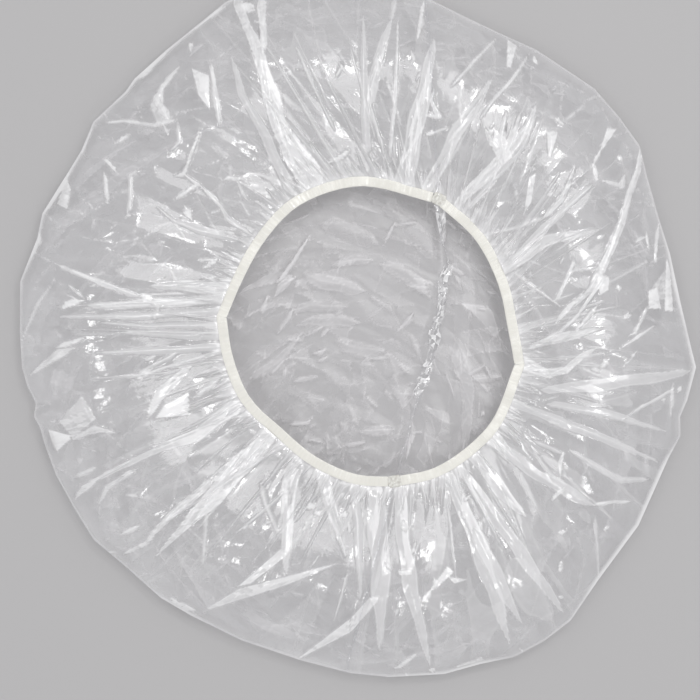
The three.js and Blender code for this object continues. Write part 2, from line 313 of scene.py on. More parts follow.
LATTICE = 67               # corners along each side of a random lattice
CREASE_SHARE = 0.06        # a crease line's half-width as a share of a facet
PULL_PITCH = 0.6           # the coarser nets' pitch against the net that they pull about
PULL_SHIFTS = ((3, 0), (9, 4))  # how far along the lattice each of the two is moved
PULL = 1.1                 # how far they pull it, in facets
NOISE_WAVES = ((1, 0.65), (2.3, 0.35))  # the pitch and share of each run of smooth noise


def random_corners():
    """A square lattice of random heights from 0 to 1."""
    return draw.random((LATTICE, LATTICE))


def triangle_net(a, b, corners):
    """A net of flat triangles: each corner of the net has its own height from 0 to 1, and each triangle is
    a plane between three of them. Also gives every triangle a tone of its own from 0 to 1, which is read
    elsewhere on the lattice, and how near each point is to a crease, from 0 in the open to 1 on the
    crease."""
    i, j = np.floor(a).astype(int), np.floor(b).astype(int)
    part_a, part_b = a - i, b - j
    size = len(corners)
    here, right = corners[i % size, j % size], corners[(i + 1) % size, j % size]
    above, beyond = corners[i % size, (j + 1) % size], corners[(i + 1) % size, (j + 1) % size]
    near = here + part_a * (right - here) + part_b * (above - here)
    far = beyond + (1 - part_a) * (above - beyond) + (1 - part_b) * (right - beyond)
    outer = part_a + part_b > 1
    tone = corners[(2 * i + 5 * outer + 3) % size, (3 * j + 7 * outer + 1) % size]
    crease = np.minimum(np.minimum(part_a, 1 - part_a), np.minimum(part_b, 1 - part_b))
    crease = np.minimum(crease, np.abs(1 - part_a - part_b))
    return np.where(outer, far, near), tone, np.clip(1 - crease / CREASE_SHARE, 0, 1)


def facets(a, b, corners):
    """Crumpled film: a net of triangles whose places are themselves pulled about by two coarser nets, so
    that every crease is a straight run with kinks."""
    pull_a, pull_b = (
        PULL * (triangle_net(PULL_PITCH * a + shift_a, PULL_PITCH * b + shift_b, corners)[0] - 0.5)
        for shift_a, shift_b in PULL_SHIFTS
    )
    return triangle_net(a + pull_a, b + pull_b, corners)


def soft_noise(a, b, corners):
    """Smooth noise from 0 to 1: eased between the corners of a lattice, with a finer run of it added at a
    smaller share."""
    noise = 0
    size = len(corners)
    for pitch, share in NOISE_WAVES:
        i, j = np.floor(a * pitch).astype(int), np.floor(b * pitch).astype(int)
        part_a, part_b = ease(a * pitch - i), ease(b * pitch - j)
        low = corners[i % size, j % size] * (1 - part_a) + corners[(i + 1) % size, j % size] * part_a
        above = (j + 1) % size
        high = corners[i % size, above] * (1 - part_a) + corners[(i + 1) % size, above] * part_a
        noise = noise + share * (low * (1 - part_b) + high * part_b)
    return noise


def film_haze(layers):
    """Layers of film, each letting most light through: what is scattered is one less the product of what
    passes."""
    return 1 - (1 - SINGLE_HAZE) ** np.maximum(layers, 0)


def add_piece(name, grid, faces):
    """A smooth object at the origin, from a grid of points and the faces that join them by number."""
    mesh = bpy.data.meshes.new(name)
    mesh.from_pydata(grid.reshape(-1, 3).tolist(), [], faces)
    mesh.shade_smooth()
    mesh.update()
    piece = bpy.data.objects.new(name, mesh)
    bpy.context.scene.collection.objects.link(piece)
    return piece


def film_sheet(name, grid, haze):
    """Joins a grid of points, rows by columns, into a sheet of four-sided faces, and stores the film's
    haze."""
    rows, columns = grid.shape[:2]
    corner = np.arange(rows * columns).reshape(rows, columns)
    faces = np.stack([corner[:-1, :-1], corner[:-1, 1:], corner[1:, 1:], corner[1:, :-1]], -1).reshape(-1, 4)
    piece = add_piece(name, grid, faces.tolist())
    values = haze.ravel().astype(np.float32)
    piece.data.attributes.new("haze", "FLOAT", "POINT").data.foreach_set("value", values)
    return piece


def new_node(material, kind, **values):
    """A shader node with numbers and colours set on its sockets, whose names have _ for a space."""
    node = material.node_tree.nodes.new(f"ShaderNode{kind}")
    for socket, value in values.items():
        node.inputs[socket.replace("_", " ")].default_value = value
    return node


def sum_node(material, operation, *values):
    """A node that does a sum on its first socket with the given numbers on the others."""
    node = new_node(material, "Math")
    node.operation = operation
    for number, value in enumerate(values, 1):
        node.inputs[number].default_value = value
    return node


def wire(material, *runs):
    """Joins shader nodes: each run is a node, its output, the next node and its input."""
    for source, output, target, entry in runs:
        material.node_tree.links.new(source.outputs[output], target.inputs[entry])


CLEAR_COLOUR = (0.985, 0.985, 0.99, 1)
MILKY_ROUGHNESS = 0.35
CRINKLE_SCALE = 420        # fine crinkles to a metre
CRINKLE_DETAIL = 3
CRINKLE_DEPTH = 0.0004
FACING_BLEND = 0.5         # plain facing, from 0 face on to 1 edge on
GLANCE_POWER = 4           # how late the mirror grows as the film turns away
GLANCE_SHARE = 0.5         # and how far


def clear_film(name, tint, face_on, roughness, crinkle):
    """Clear film: light passes except for the haze, which scatters it, and except for a mirror, whose share
    is face_on plus half the fourth power of how far the film is turned away. Fine crinkles are a bump."""
    material = bpy.data.materials.new(name)
    material.use_nodes = True
    material.node_tree.nodes.clear()
    output = new_node(material, "OutputMaterial")
    clear = new_node(material, "BsdfTransparent", Color=CLEAR_COLOUR)
    milky = new_node(material, "BsdfPrincipled", Base_Color=(*tint, 1), Roughness=MILKY_ROUGHNESS)
    mirror = new_node(material, "BsdfGlossy", Color=(1, 1, 1, 1), Roughness=roughness)
    place = new_node(material, "TexCoord")
    fine = new_node(material, "TexNoise", Scale=CRINKLE_SCALE, Detail=CRINKLE_DETAIL)
    bump = new_node(material, "Bump", Strength=crinkle, Distance=CRINKLE_DEPTH)
    haze = new_node(material, "Attribute")
    haze.attribute_name = "haze"
    body = new_node(material, "MixShader")
    facing = new_node(material, "LayerWeight", Blend=FACING_BLEND)
    glance = sum_node(material, "POWER", GLANCE_POWER)
    shine = sum_node(material, "MULTIPLY_ADD", GLANCE_SHARE, face_on)
    surface = new_node(material, "MixShader")
    wire(
        material,
        (place, "Object", fine, "Vector"),
        (fine, "Fac", bump, "Height"),
        (bump, "Normal", milky, "Normal"),
        (bump, "Normal", mirror, "Normal"),
        (haze, "Fac", body, "Fac"),
        (clear, "BSDF", body, 1),
        (milky, "BSDF", body, 2),
        (facing, "Facing", glance, 0),
        (glance, "Value", shine, 0),
        (shine, "Value", surface, "Fac"),
        (body, "Shader", surface, 1),
        (mirror, "BSDF", surface, 2),
        (surface, "Shader", output, "Surface"),
    )
    return material


def bend_with(piece):
    """Bakes the piece's placing into its mesh."""
    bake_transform(piece)


CROWN_STRENGTH = 2.8
CROWN_FOLDS = drawn_folds([
    # bright strokes: painted highlights, glints put in as extra layers of haze
    (1.2, 6, (309, 235, 1), (295, 257, 3), (275, 284, 2)), (0.9, 4, (395, 222, 3), (384, 245, 1)),
    (1.0, 4, (295, 276, 4), (281, 286, 5), (273, 297, 2)),
    (0.8, 4, (267, 296, 2), (262, 307, 3), (260, 318, 1)),
    (1.0, 3.5, (415, 311, 2), (408, 321, 4), (396, 333, 1)), (0.8, 3.5, (330, 328, 2), (321, 338, 3)),
    (0.8, 4, (326, 350, 3), (313, 354, 3)), (0.7, 3, (328, 357, 2), (317, 362, 3)),
    (0.8, 2.5, (321, 377, 2), (309, 380, 3), (291, 383, 4)),
    (0.8, 4, (313, 417, 1), (307, 424, 3), (288, 426, 1)),
    (0.8, 4, (411, 434, 2), (409, 448, 2), (406, 463, 2)), (0.6, 3, (411, 434, 1), (423, 433, 2)),
    (0.6, 6, (481, 417, 1), (486, 413, 3)), (0.9, 2.5, (396, 430, 4), (373, 432, 5), (357, 433, 2)),
    (0.8, 3, (368, 443, 2), (352, 446, 3), (339, 446, 2)), (0.7, 2.5, (326, 445, 2), (304, 440, 2)),
    (0.8, 2, (326, 402, 3), (304, 398, 4)), (0.8, 2, (488, 365, 2), (469, 376, 4)),
    (0.9, 1.8, (504, 378, 5), (471, 381, 3)), (0.9, 1.6, (504, 328, 3), (491, 342, 4)),
    (1.0, 2.5, (300, 337, 3), (272, 370, 6), (248, 381, 4)),
    (0.8, 3, (276, 335, 2), (289, 318, 3), (293, 307, 2)),
    # broad pale veils
    (1.2, 2.2, (328, 266, 1), (352, 260, 6), (373, 260, 5)),
    (1.4, 2.2, (378, 263, 4), (406, 272, 9), (430, 294, 8)),
    (1.4, 2.2, (302, 272, 5), (321, 283, 9), (352, 289, 7), (367, 292, 2)),
    (1.0, 1.8, (369, 296, 2), (389, 307, 4), (395, 315, 2)),
    (1.2, 1.8, (291, 311, 3), (313, 307, 6), (347, 307, 5)),
    (1.2, 2, (293, 326, 2), (313, 320, 5), (339, 318, 7), (360, 324, 4)),
    (1.0, 1.5, (334, 341, 5), (360, 348, 8), (386, 352, 4)),
    (1.0, 1, (460, 242, 9), (463, 300, 10), (456, 380, 8)),
    (1.2, 1.2, (321, 224, 10), (352, 233, 12), (378, 244, 8)),
    (1.2, 1.2, (365, 196, 8), (384, 198, 9), (408, 229, 10), (439, 259, 9)),
    (1.0, 1, (254, 289, 3), (280, 261, 8), (304, 248, 5)),
], CROWN_STRENGTH)
CROWN_WRINKLES = 120
WRINKLE = {
    "turn": 0.7, "length": (0.004, 0.014), "wide": (0.0006, 0.0016),
    "rise": (0.0003, 0.0008), "film_and_glint_layers": (2, 9), "taper": 0.5,
}
ARC_MIDDLE = on_table((345, 450))  # the wrinkles bend round this point
ARC_RADIUS = 0.07          # and are measured along an arc of this radius
SWELL_SIZE = (0.013, 0.040)  # a soft swell's size across and along the arc
SWELL_HEIGHT = 0.0016
SWELL_BASE = 0.2           # the swell at which the film keeps its height
SHARD_SIZE = (0.0062, 0.024)  # a sharp wrinkle's, in the same way
SHARD_HEIGHT = 0.0008
SHARD_LAYERS = 9
SHARD_CREASE = 3           # a crease's further layers
SHARD_SWELL = (0.15, 0.3)  # the swell from which shards show, and over which they come in
CHIP_SIZE = (0.010, 0.006)  # a small crumple's, across and up the photograph
CHIP_HEIGHT = 0.0005
CHIP_LAYERS = 6
CHIP_CREASE = 4
FOLD_CALM = 0.012          # the wrinkles die away over this distance to the outer fold
SEAM_CALM = 0.03           # and over this share of the way out from the seam
RIM_LAYERS = 3             # the fold's edge line
RIM_EDGE = 0.0006          # and how far in it reaches


def crown_leaf(name, lines, rows):
    """The lower half of a leaf: straight runs from the seam out to the fold, flat on the table and rolled
    up at the fold, with the wrinkles, swells, shards and chips of crumpled film added to its height. Also
    returns how far each point follows the mouth."""
    q = np.linspace(0, 1, rows + 1)[:, None, None]
    q = (1 - ROW_CROWDING) * q + ROW_CROWDING * q ** 2
    plan = lines["seam"][None] * (1 - q) + lines["rim"][None] * q
    x, y = plan[:, :, 0], plan[:, :, 1]
    to_rim = np.maximum(from_fold(plan), 0)
    centres = plan.reshape(-1, 2)[draw.integers(0, x.size, CROWN_WRINKLES)]
    round_arc = np.stack([ARC_MIDDLE[1] - centres[:, 1], centres[:, 0] - ARC_MIDDLE[0]], 1)
    wrinkles = scatter_folds(centres, round_arc, **WRINKLE)
    height, layers = lay_folds(x, y, CROWN_FOLDS + wrinkles, 1, np.ones(x.shape))
    across = np.hypot(x - ARC_MIDDLE[0], y - ARC_MIDDLE[1])
    along = ARC_RADIUS * np.arctan2(x - ARC_MIDDLE[0], y - ARC_MIDDLE[1])
    swell = soft_noise(across / SWELL_SIZE[0], along / SWELL_SIZE[1], random_corners())
    shard, shard_tone, shard_crease = facets(across / SHARD_SIZE[0], along / SHARD_SIZE[1], random_corners())
    chip, chip_tone, chip_crease = facets(x / CHIP_SIZE[0], y / CHIP_SIZE[1], random_corners())
    height = height + SWELL_HEIGHT * (swell - SWELL_BASE) + SHARD_HEIGHT * shard + CHIP_HEIGHT * chip
    shards = SHARD_LAYERS * shard_tone ** 2 * shard ** 1.5 + SHARD_CREASE * shard_crease * shard_tone
    layers = layers + shards * ease((swell - SHARD_SWELL[0]) / SHARD_SWELL[1])
    layers = layers + CHIP_LAYERS * chip_tone ** 4 * chip + CHIP_CREASE * chip_crease * chip_tone ** 3
    calm = ease(to_rim / FOLD_CALM)
    z = rolled_up(plan) + height * calm * ease(q[:, :, 0] / SEAM_CALM)
    edge_line = RIM_LAYERS * np.exp(-to_rim / RIM_EDGE)
    haze = film_haze(CROWN_CLARITY * (1 + layers * calm) + edge_line)
    return film_sheet(name, np.dstack([plan, z]), haze), lift_share(plan)


crown_film = clear_film("crown film", CROWN_TINT, face_on=0.035, roughness=0.25, crinkle=0.25)
for side in SIDES:
    lines = leaf_lines(CROWN_COLUMNS[side], side)
    piece, weights = crown_leaf(f"{side}_crown_film", lines, CROWN_ROWS[side])
    piece.data.materials.append(crown_film)
    bend_with(piece)

# Skirt film.
# The outer half of each leaf folds back over the crown at the rim and is drawn in to the mouth, so it puffs
# up and stands in pleats that run out from the elastic, flattened into creases where the cap was packed.

SKIRT_COLUMNS = {"left": 900, "right": 700}
SKIRT_ROWS = {"left": 108, "right": 138}
SKIRT_TINT = (0.94, 0.93, 0.93)
SKIRT_LAYERS = 1.5         # the smooth skirt's own haze, in layers
CREST_HEIGHT = 0.023
CREST_REACH = 0.045
TAPE_WIDTH = 0.0046
BAND_REACH = 0.010         # a fold that starts this near the elastic comes out from under it


def unit(vectors):
    """Vectors divided by their own lengths."""
    return vectors / np.linalg.norm(vectors, axis=-1, keepdims=True)


def from_band(folds):
    """Folds that start within reach of the elastic run on under it, so that they are at full width
    there."""
    tape = np.vstack([tape_lines["left"], tape_lines["right"]])[:, :2]
    for points, rise, layers, lean in folds:
        if np.linalg.norm(tape - points[0, :2], axis=1).min() < BAND_REACH:
            points[0, :2] += unit(points[0, :2] - points[1, :2]) * BAND_REACH / 2
    return folds


SKIRT_STRENGTH = 1.9
# The bright strokes among these folds are painted highlights, glints put in as extra layers of haze; the
# plain pleats' layers are their doubled film.
SKIRT_FOLDS = from_band(drawn_folds([
    # back left: the bright bundle and crumpled film beside it
    (2.0, 6, (312, 182, 16), (290, 156, 12), (277, 125, 9), (266, 85, 7), (260, 60, 6), (246, 29, 5),
     (234, -6, 6)),
    (1.2, 5, (263, 58, 3), (262, 30, 4), (260, -6, 5)), (0.8, 8, (240, 4, 5), (256, 12, 6)),
    (1.6, 3, (288, 187, 6), (268, 143, 5), (243, 98, 4), (232, 60, 2)),
    (1.0, 5, (221, 131, 2), (217, 107, 3), (210, 62, 2)),
    (1.0, 6, (180, 68, 2), (163, 87, 2), (157, 101, 4), (168, 121, 4)),
    (0.9, 4, (101, 123, 1), (123, 121, 2), (156, 127, 2), (179, 122, 2)),
    (0.8, 3, (179, 124, 2), (181, 145, 2), (170, 158, 1)),
    (1.0, 5, (202, 130, 1), (190, 165, 2), (185, 177, 3), (174, 180, 2)),
    (1.0, 5, (185, 177, 2), (200, 187, 2), (175, 203, 3)),
    (1.0, 4, (201, 188, 2), (221, 208, 2), (228, 221, 3), (254, 238, 2)),
    (1.2, 3, (157, 208, 1), (174, 223, 2), (197, 232, 4), (241, 242, 5)),
    (0.8, 7, (185, 207, 1), (190, 214, 4), (193, 223, 3)),
    (0.8, 4, (221, 183, 1), (236, 180, 2), (249, 182, 1)),
    (0.8, 3, (236, 180, 1), (243, 196, 2), (250, 205, 1)), (0.8, 8, (105, 174, 2), (110, 207, 3)),
    (0.8, 6, (105, 159, 3), (119, 176, 1)),
    (0.8, 3, (142, 171, 1), (132, 178, 2), (132, 200, 2), (129, 221, 2)),
    (0.8, 5, (113, 147, 1), (132, 135, 3)), (0.6, 5, (187, 31, 1), (226, 4, 2)),
    (0.6, 5, (190, 41, 2), (191, 54, 2)), (0.6, 6, (40, 217, 1), (55, 195, 3), (69, 172, 2)),
    (0.6, 5, (80, 154, 1), (92, 127, 2)),
    (1.0, 5, (56, 265, 2), (85, 277, 3), (114, 288, 2), (143, 299, 3)),
    (0.8, 3, (148, 301, 2), (160, 308, 2), (155, 324, 1)), (0.9, 8, (70, 286, 2), (87, 301, 2)),
    (0.6, 3, (54, 284, 1), (38, 304, 2), (20, 342, 1)), (0.8, 6, (204, 270, 2), (220, 259, 3)),
    (0.7, 5, (197, 263, 1), (214, 261, 2)),
    # back: flat strips and bright lines
    (1.0, 3, (295, 47, 1), (310, 83, 2), (324, 112, 1), (335, 134, 2)),
    (0.8, 4, (328, 166, 2), (351, 151, 3)), (0.8, 3, (335, 83, 2), (344, 64, 1)),
    (1.5, 3, (366, 158, 5), (363, 80, 4), (363, 16, 1)), (1.0, 4, (385, 160, 1), (370, 107, 3)),
    (1.5, 3.5, (370, 112, 3), (374, 78, 6), (385, 40, 4), (392, 18, 1)),
    (0.8, 3, (391, 26, 1), (396, -4, 4)), (1.0, 6, (390, 162, 2), (396, 90, 2), (398, 20, 1)),
    (0.8, 6, (417, 42, 1), (425, -2, 3)),
    (1.8, 3.5, (404, 184, 9), (418, 120, 9), (430, 62, 5), (434, 38, 1)),
    (0.8, 5, (410, 170, 1), (422, 110, 2), (432, 52, 1)),
    (1.0, 7, (424, 117, 2), (438, 120, 3), (431, 104, 2), (434, 90, 1)),
    (0.8, 5, (422, 138, 2), (451, 130, 1)), (0.9, 4, (447, 94, 1), (470, 68, 2), (497, 38, 1)),
    (1.8, 4, (428, 192, 5), (455, 140, 7), (478, 105, 5), (493, 79, 1)),
    (0.9, 4, (477, 125, 1), (495, 100, 2), (515, 78, 2), (530, 53, 1)),
    (0.6, 7, (534, 55, 2), (537, 65, 3)), (1.2, 7, (506, 113, 2), (500, 140, 3), (503, 168, 2)),
    (1.0, 7, (482, 128, 1), (496, 153, 4)), (1.0, 7, (520, 112, 1), (513, 136, 3), (506, 158, 3)),
    (1.8, 5, (458, 204, 4), (480, 180, 6), (502, 158, 7), (524, 130, 4), (536, 106, 2)),
    (1.4, 4, (470, 207, 2), (500, 175, 3), (522, 150, 4), (535, 118, 2)),
    # right of the back: curved strips towards the fold
    (0.7, 4, (553, 119, 2), (562, 129, 2)),
    (1.0, 7, (541, 221, 4), (560, 200, 3), (568, 180, 2), (574, 167, 1)),
    (1.0, 3, (484, 237, 2), (515, 230, 2), (545, 219, 3)),
    (1.2, 4, (506, 269, 4), (530, 245, 4), (560, 215, 4), (592, 186, 2)),
    (1.2, 4, (510, 270, 4), (545, 245, 6), (599, 231, 1)), (0.8, 6, (591, 168, 2), (600, 150, 2)),
    (0.7, 7, (590, 164, 3), (596, 182, 2)), (0.8, 5, (598, 182, 1), (621, 186, 3), (625, 174, 2)),
    (0.6, 8, (618, 156, 3), (621, 162, 3)),
    (1.2, 6, (641, 148, 2), (638, 170, 3), (628, 195, 4), (618, 225, 4), (608, 250, 5), (598, 272, 4),
     (586, 292, 3), (570, 311, 1)),
    (0.9, 7, (583, 292, 2), (570, 306, 3), (553, 326, 2)),
    (0.9, 5, (604, 277, 2), (589, 299, 2), (574, 319, 2), (557, 334, 2), (538, 343, 1)),
    (0.8, 4, (572, 333, 2), (596, 306, 3)), (0.6, 4, (645, 230, 1), (649, 252, 2)),
    (0.6, 5, (655, 264, 2), (660, 224, 2)), (1.0, 5, (537, 347, 3), (570, 338, 5), (601, 330, 2)),
    (0.7, 5, (648, 304, 1), (640, 320, 2), (633, 334, 2), (625, 338, 1)),
    (0.6, 4, (656, 325, 1), (635, 338, 2), (618, 350, 1)), (0.6, 8, (615, 286, 2), (617, 293, 3)),
    (0.6, 8, (622, 319, 2), (630, 316, 3)), (0.8, 4, (520, 280, 2), (561, 310, 1)),
    (0.7, 5, (545, 200, 2), (551, 195, 3)),
    # right: long flat rays
    (1.0, 5, (523, 365, 6), (545, 375, 5), (565, 372, 4), (580, 358, 3), (595, 349, 2)),
    (1.2, 3, (538, 391, 4), (610, 383, 7), (691, 372, 4)),
    (1.4, 3, (511, 403, 4), (580, 430, 5), (620, 446, 4), (661, 464, 1)),
    (1.2, 3, (543, 405, 3), (600, 415, 5), (667, 433, 1)),
    (1.4, 3, (487, 439, 5), (535, 475, 6), (570, 495, 6), (593, 506, 3)),
    (0.8, 4, (590, 505, 2), (608, 503, 2), (632, 502, 1)),
    (1.2, 3, (472, 455, 6), (500, 490, 7), (524, 517, 3)), (0.8, 3, (530, 440, 3), (563, 455, 2)),
    (0.8, 3, (566, 450, 2), (620, 480, 4), (650, 480, 2)), (0.8, 7, (597, 370, 3), (606, 361, 4)),
    (0.7, 7, (620, 368, 2), (635, 352, 2)), (0.6, 5, (673, 384, 2), (670, 422, 1)),
    (0.6, 10, (677, 394, 2), (682, 387, 3)), (0.6, 4, (617, 422, 1), (640, 407, 2), (676, 388, 2)),
    (0.8, 5, (564, 486, 2), (548, 502, 2)), (0.6, 3, (593, 516, 2), (599, 581, 1)),
    # front right: broad darts
    (1.8, 3.3, (464, 474, 5), (490, 512, 6), (522, 556, 7), (548, 592, 5), (564, 615, 1)),
    (1.6, 3.2, (472, 528, 5), (488, 560, 7), (505, 595, 6), (521, 624, 1)),
    (1.6, 3.3, (449, 480, 5), (466, 520, 8), (480, 560, 9), (497, 610, 6), (510, 647, 1)),
    (1.0, 1.2, (508, 556, 12), (535, 600, 16), (552, 622, 6)),
    (1.6, 3.3, (398, 486, 6), (402, 540, 7), (408, 580, 8), (420, 630, 5), (431, 670, 1)),
    (1.6, 3.2, (376, 486, 8), (381, 545, 11), (382, 590, 9), (379, 652, 1)),
    (1.2, 3, (354, 486, 5), (358, 540, 5), (360, 600, 1)), (0.7, 8, (402, 520, 3), (405, 531, 4)),
    (0.6, 7, (461, 512, 2), (464, 519, 3)), (0.6, 5, (462, 501, 1), (471, 495, 2)),
    (0.6, 6, (384, 560, 2), (391, 569, 2)), (0.6, 5, (415, 539, 2), (411, 554, 1)),
    (0.6, 7, (557, 534, 2), (564, 531, 3)), (0.6, 6, (560, 560, 2), (558, 572, 3)),
    (0.6, 9, (558, 595, 2), (562, 599, 3)), (0.6, 6, (601, 531, 1), (609, 527, 3)),
    (0.6, 9, (428, 672, 2), (436, 671, 3)),
    # front left: the heaviest bundle and the flat strips at the fold
    (2.0, 7, (268, 436, 8), (245, 462, 11), (223, 484, 12), (207, 504, 8), (180, 531, 4), (157, 556, 1)),
    (1.4, 6, (214, 478, 5), (180, 508, 4), (154, 532, 3), (148, 542, 2), (121, 556, 2)),
    (0.7, 5, (121, 535, 2), (141, 525, 3)),
    (1.4, 3.2, (232, 408, 8), (196, 434, 6), (143, 456, 3), (96, 481, 2)),
    (0.9, 5, (136, 459, 1), (100, 478, 2), (84, 488, 3), (73, 502, 2)),
    (1.0, 5, (139, 469, 2), (109, 488, 3), (99, 505, 3)), (0.9, 4, (73, 479, 2), (99, 467, 4)),
    (1.2, 6, (149, 420, 2), (165, 392, 6), (193, 367, 4)), (1.0, 5, (194, 399, 3), (221, 379, 4)),
    (0.8, 5, (72, 441, 3), (97, 428, 3), (121, 434, 1)),
    (0.9, 6, (28, 377, 1), (45, 366, 3), (60, 355, 5), (77, 349, 2)),
    (0.8, 4, (138, 381, 4), (155, 369, 2)), (0.8, 3, (138, 375, 1), (180, 353, 3)),
    (0.8, 3, (204, 568, 1), (208, 511, 3)), (1.0, 3, (261, 482, 3), (266, 504, 3), (280, 537, 1)),
    (1.5, 4, (292, 472, 8), (288, 530, 6), (287, 575, 2)), (0.7, 3, (334, 620, 1), (347, 573, 2)),
    (1.4, 4, (322, 478, 7), (335, 520, 5), (346, 557, 1)), (0.8, 9, (307, 509, 3), (315, 505, 4)),
    (0.8, 8, (314, 514, 2), (322, 511, 3)), (0.8, 7, (341, 515, 2), (348, 513, 4)),
    (0.6, 7, (169, 599, 2), (184, 606, 3), (199, 614, 2)),
    # left: level pleats into the kink
    (1.4, 3.5, (224, 288, 7), (190, 286, 6), (150, 288, 2)),
    (1.4, 4, (222, 299, 5), (150, 304, 5), (88, 307, 3)),
    (1.2, 3, (218, 312, 4), (130, 318, 4), (58, 318, 1)),
    (1.2, 3, (216, 326, 4), (150, 328, 3), (100, 324, 1)),
    (1.2, 3, (216, 338, 5), (160, 336, 4), (122, 334, 1)),
    (1.2, 3, (218, 348, 4), (150, 352, 4), (98, 354, 1)), (0.8, 5, (57, 349, 2), (88, 338, 3)),
], SKIRT_STRENGTH))

STREAK_COUNT = (2, 0.0005)  # a fold's least streaks, and the half-width that each further streak takes
STREAK_START = (0, 0.6)    # where a streak starts along its fold, as a share
STREAK_LENGTH = (0.2, 0.4)
STREAK_ASIDE = 0.9         # how far to each side it may lie, as a share of the half-width
STREAK_WIDE = (0.0004, 0.0010)
STREAK_RISE = (-0.0006, 0.0008)
# the streaks' layers of painted highlight
STREAK_LAYERS = (-4, 14)
STREAK_LEAN = 0.5


def streaks(folds):
    """Breaks each bright fold into a bundle of fine streaks: narrow folds laid side by side within its
    width, each over a part of its length. Their layers are painted highlight: some are brighter than the
    fold and some are clearer, and a wide fold has more."""
    fine = []
    for points, rise, layers, lean in folds:
        if layers < BRIGHT_LAYERS:
            continue
        count = int(STREAK_COUNT[0] + points[:, 2].max() / STREAK_COUNT[1])
        for begin, length in zip(draw.uniform(*STREAK_START, count), draw.uniform(*STREAK_LENGTH, count)):
            ends = along_line(points, np.array([begin, begin + length]))
            run = ends[1, :2] - ends[0, :2]
            across = unit(np.array([run[1], -run[0]]))
            ends[:, :2] += across * ends[:, 2:] * draw.uniform(-STREAK_ASIDE, STREAK_ASIDE, (2, 1))
            ends[:, 2] = draw.uniform(*STREAK_WIDE, 2)
            fine.append((
                ends,
                draw.uniform(*STREAK_RISE),
                draw.uniform(*STREAK_LAYERS),
                draw.uniform(-STREAK_LEAN, STREAK_LEAN),
            ))
    return fine


SKIRT_STREAKS = streaks(SKIRT_FOLDS)

FLAP_RISE = 0.0006
FLAP_SLOPE = 0.0020        # a flap rises over this distance in from its edges
FLAP_EDGE = 0.0004         # and reaches its full haze over this one
SKIRT_FLAPS = [  # flat flaps of film folded double: the extra layers, most of them painted highlight, then the corners in pixels of the photograph
    (17, (192, 70), (210, 78), (211, 114), (199, 98)),
    (6, (154, 96), (170, 112), (172, 123), (158, 128), (150, 107)),
    (12, (65, 176), (71, 190), (68, 211), (56, 205)), (12, (39, 232), (41, 243), (29, 261), (31, 248)),
    (14, (66, 303), (76, 300), (89, 302), (62, 312)), (20, (143, 295), (154, 297), (152, 305), (145, 304)),
    (12, (136, 78), (161, 51), (167, 52), (143, 78)), (26, (47, 430), (72, 436), (72, 440), (56, 453)),
    (6, (84, 396), (98, 420), (74, 439), (59, 422)), (22, (190, 393), (190, 416), (157, 419), (166, 406)),
    (15, (281, 548), (289, 553), (252, 583), (238, 586)),
    (9, (344, 560), (290, 583), (210, 610), (207, 608), (241, 587)),
    (10, (380, 593), (369, 596), (350, 617), (350, 633), (377, 600)),
    (12, (350, 617), (350, 632), (300, 660), (298, 659)),
    (16, (493, 132), (506, 143), (511, 161), (500, 168), (491, 152)),
    (15, (545, 134), (557, 134), (549, 161), (546, 160)),
    (15, (607, 128), (617, 130), (600, 154), (597, 156)),
    (18, (647, 292), (657, 288), (661, 310), (647, 310)),
    (4, (667, 268), (670, 301), (660, 301), (649, 291)),
    (18, (667, 257), (671, 268), (674, 312), (664, 312)),
    (16, (594, 275), (607, 279), (606, 292), (597, 298)), (16, (508, 38), (518, 45), (511, 69), (506, 69)),
    (11, (522, 218), (527, 180), (534, 176), (530, 205)),
    (8, (552, 303), (570, 263), (573, 266), (558, 300)),
    (16, (555, 464), (561, 450), (562, 455), (558, 479)),
    (13, (429, 588), (446, 565), (453, 571), (435, 587)), (10, (446, 575), (466, 578), (453, 583)),
    (14, (397, 569), (411, 568), (411, 573), (398, 574)),
    (10, (392, 670), (415, 652), (417, 655), (401, 669)),
    (10, (455, 667), (482, 657), (484, 661), (457, 669)),
]


def lay_flaps(x, y, flaps, grain):
    """Adds flat flaps to a sheet. How deep a place lies in a flap is the least of its distances in from the
    straight edges, and both the height and the extra layers grow with that up to a limit. The grain
    crumples the layers."""
    height, layers = 0, 0
    for film_and_glint_layers, *corners in flaps:
        corners = on_table(corners)
        ahead = np.roll(corners, -1, axis=0)
        way = np.sign((corners[:, 0] * ahead[:, 1] - corners[:, 1] * ahead[:, 0]).sum())
        depth = 1.0
        for (x0, y0), (x1, y1) in zip(corners, ahead):
            inside = (x1 - x0) * (y - y0) - (y1 - y0) * (x - x0)
            depth = np.minimum(depth, way * inside / math.hypot(x1 - x0, y1 - y0))
        height = height + FLAP_RISE * np.clip(depth / FLAP_SLOPE, 0, 1)
        layers = layers + film_and_glint_layers * grain * np.clip(depth / FLAP_EDGE, 0, 1)
    return height, layers


def puff(reach, span):
    """The skirt's height over the table: a parabola up from the outer fold to the crest, then an eased fall
    to the mouth."""
    rise = np.clip(reach / CREST_REACH, 0, 1)
    fall = ease((reach - CREST_REACH) / (span - CREST_REACH))
    up = rim_height + (CREST_HEIGHT - rim_height) * (1 - (1 - rise) ** 2)
    return up + (mouth_height - CREST_HEIGHT) * fall


JOIN_STILLNESS = 1.2       # a power that keeps the film beside the joins still
SKIRT_FOLLOW = 1.5         # a power that keeps the film beside the outer fold still


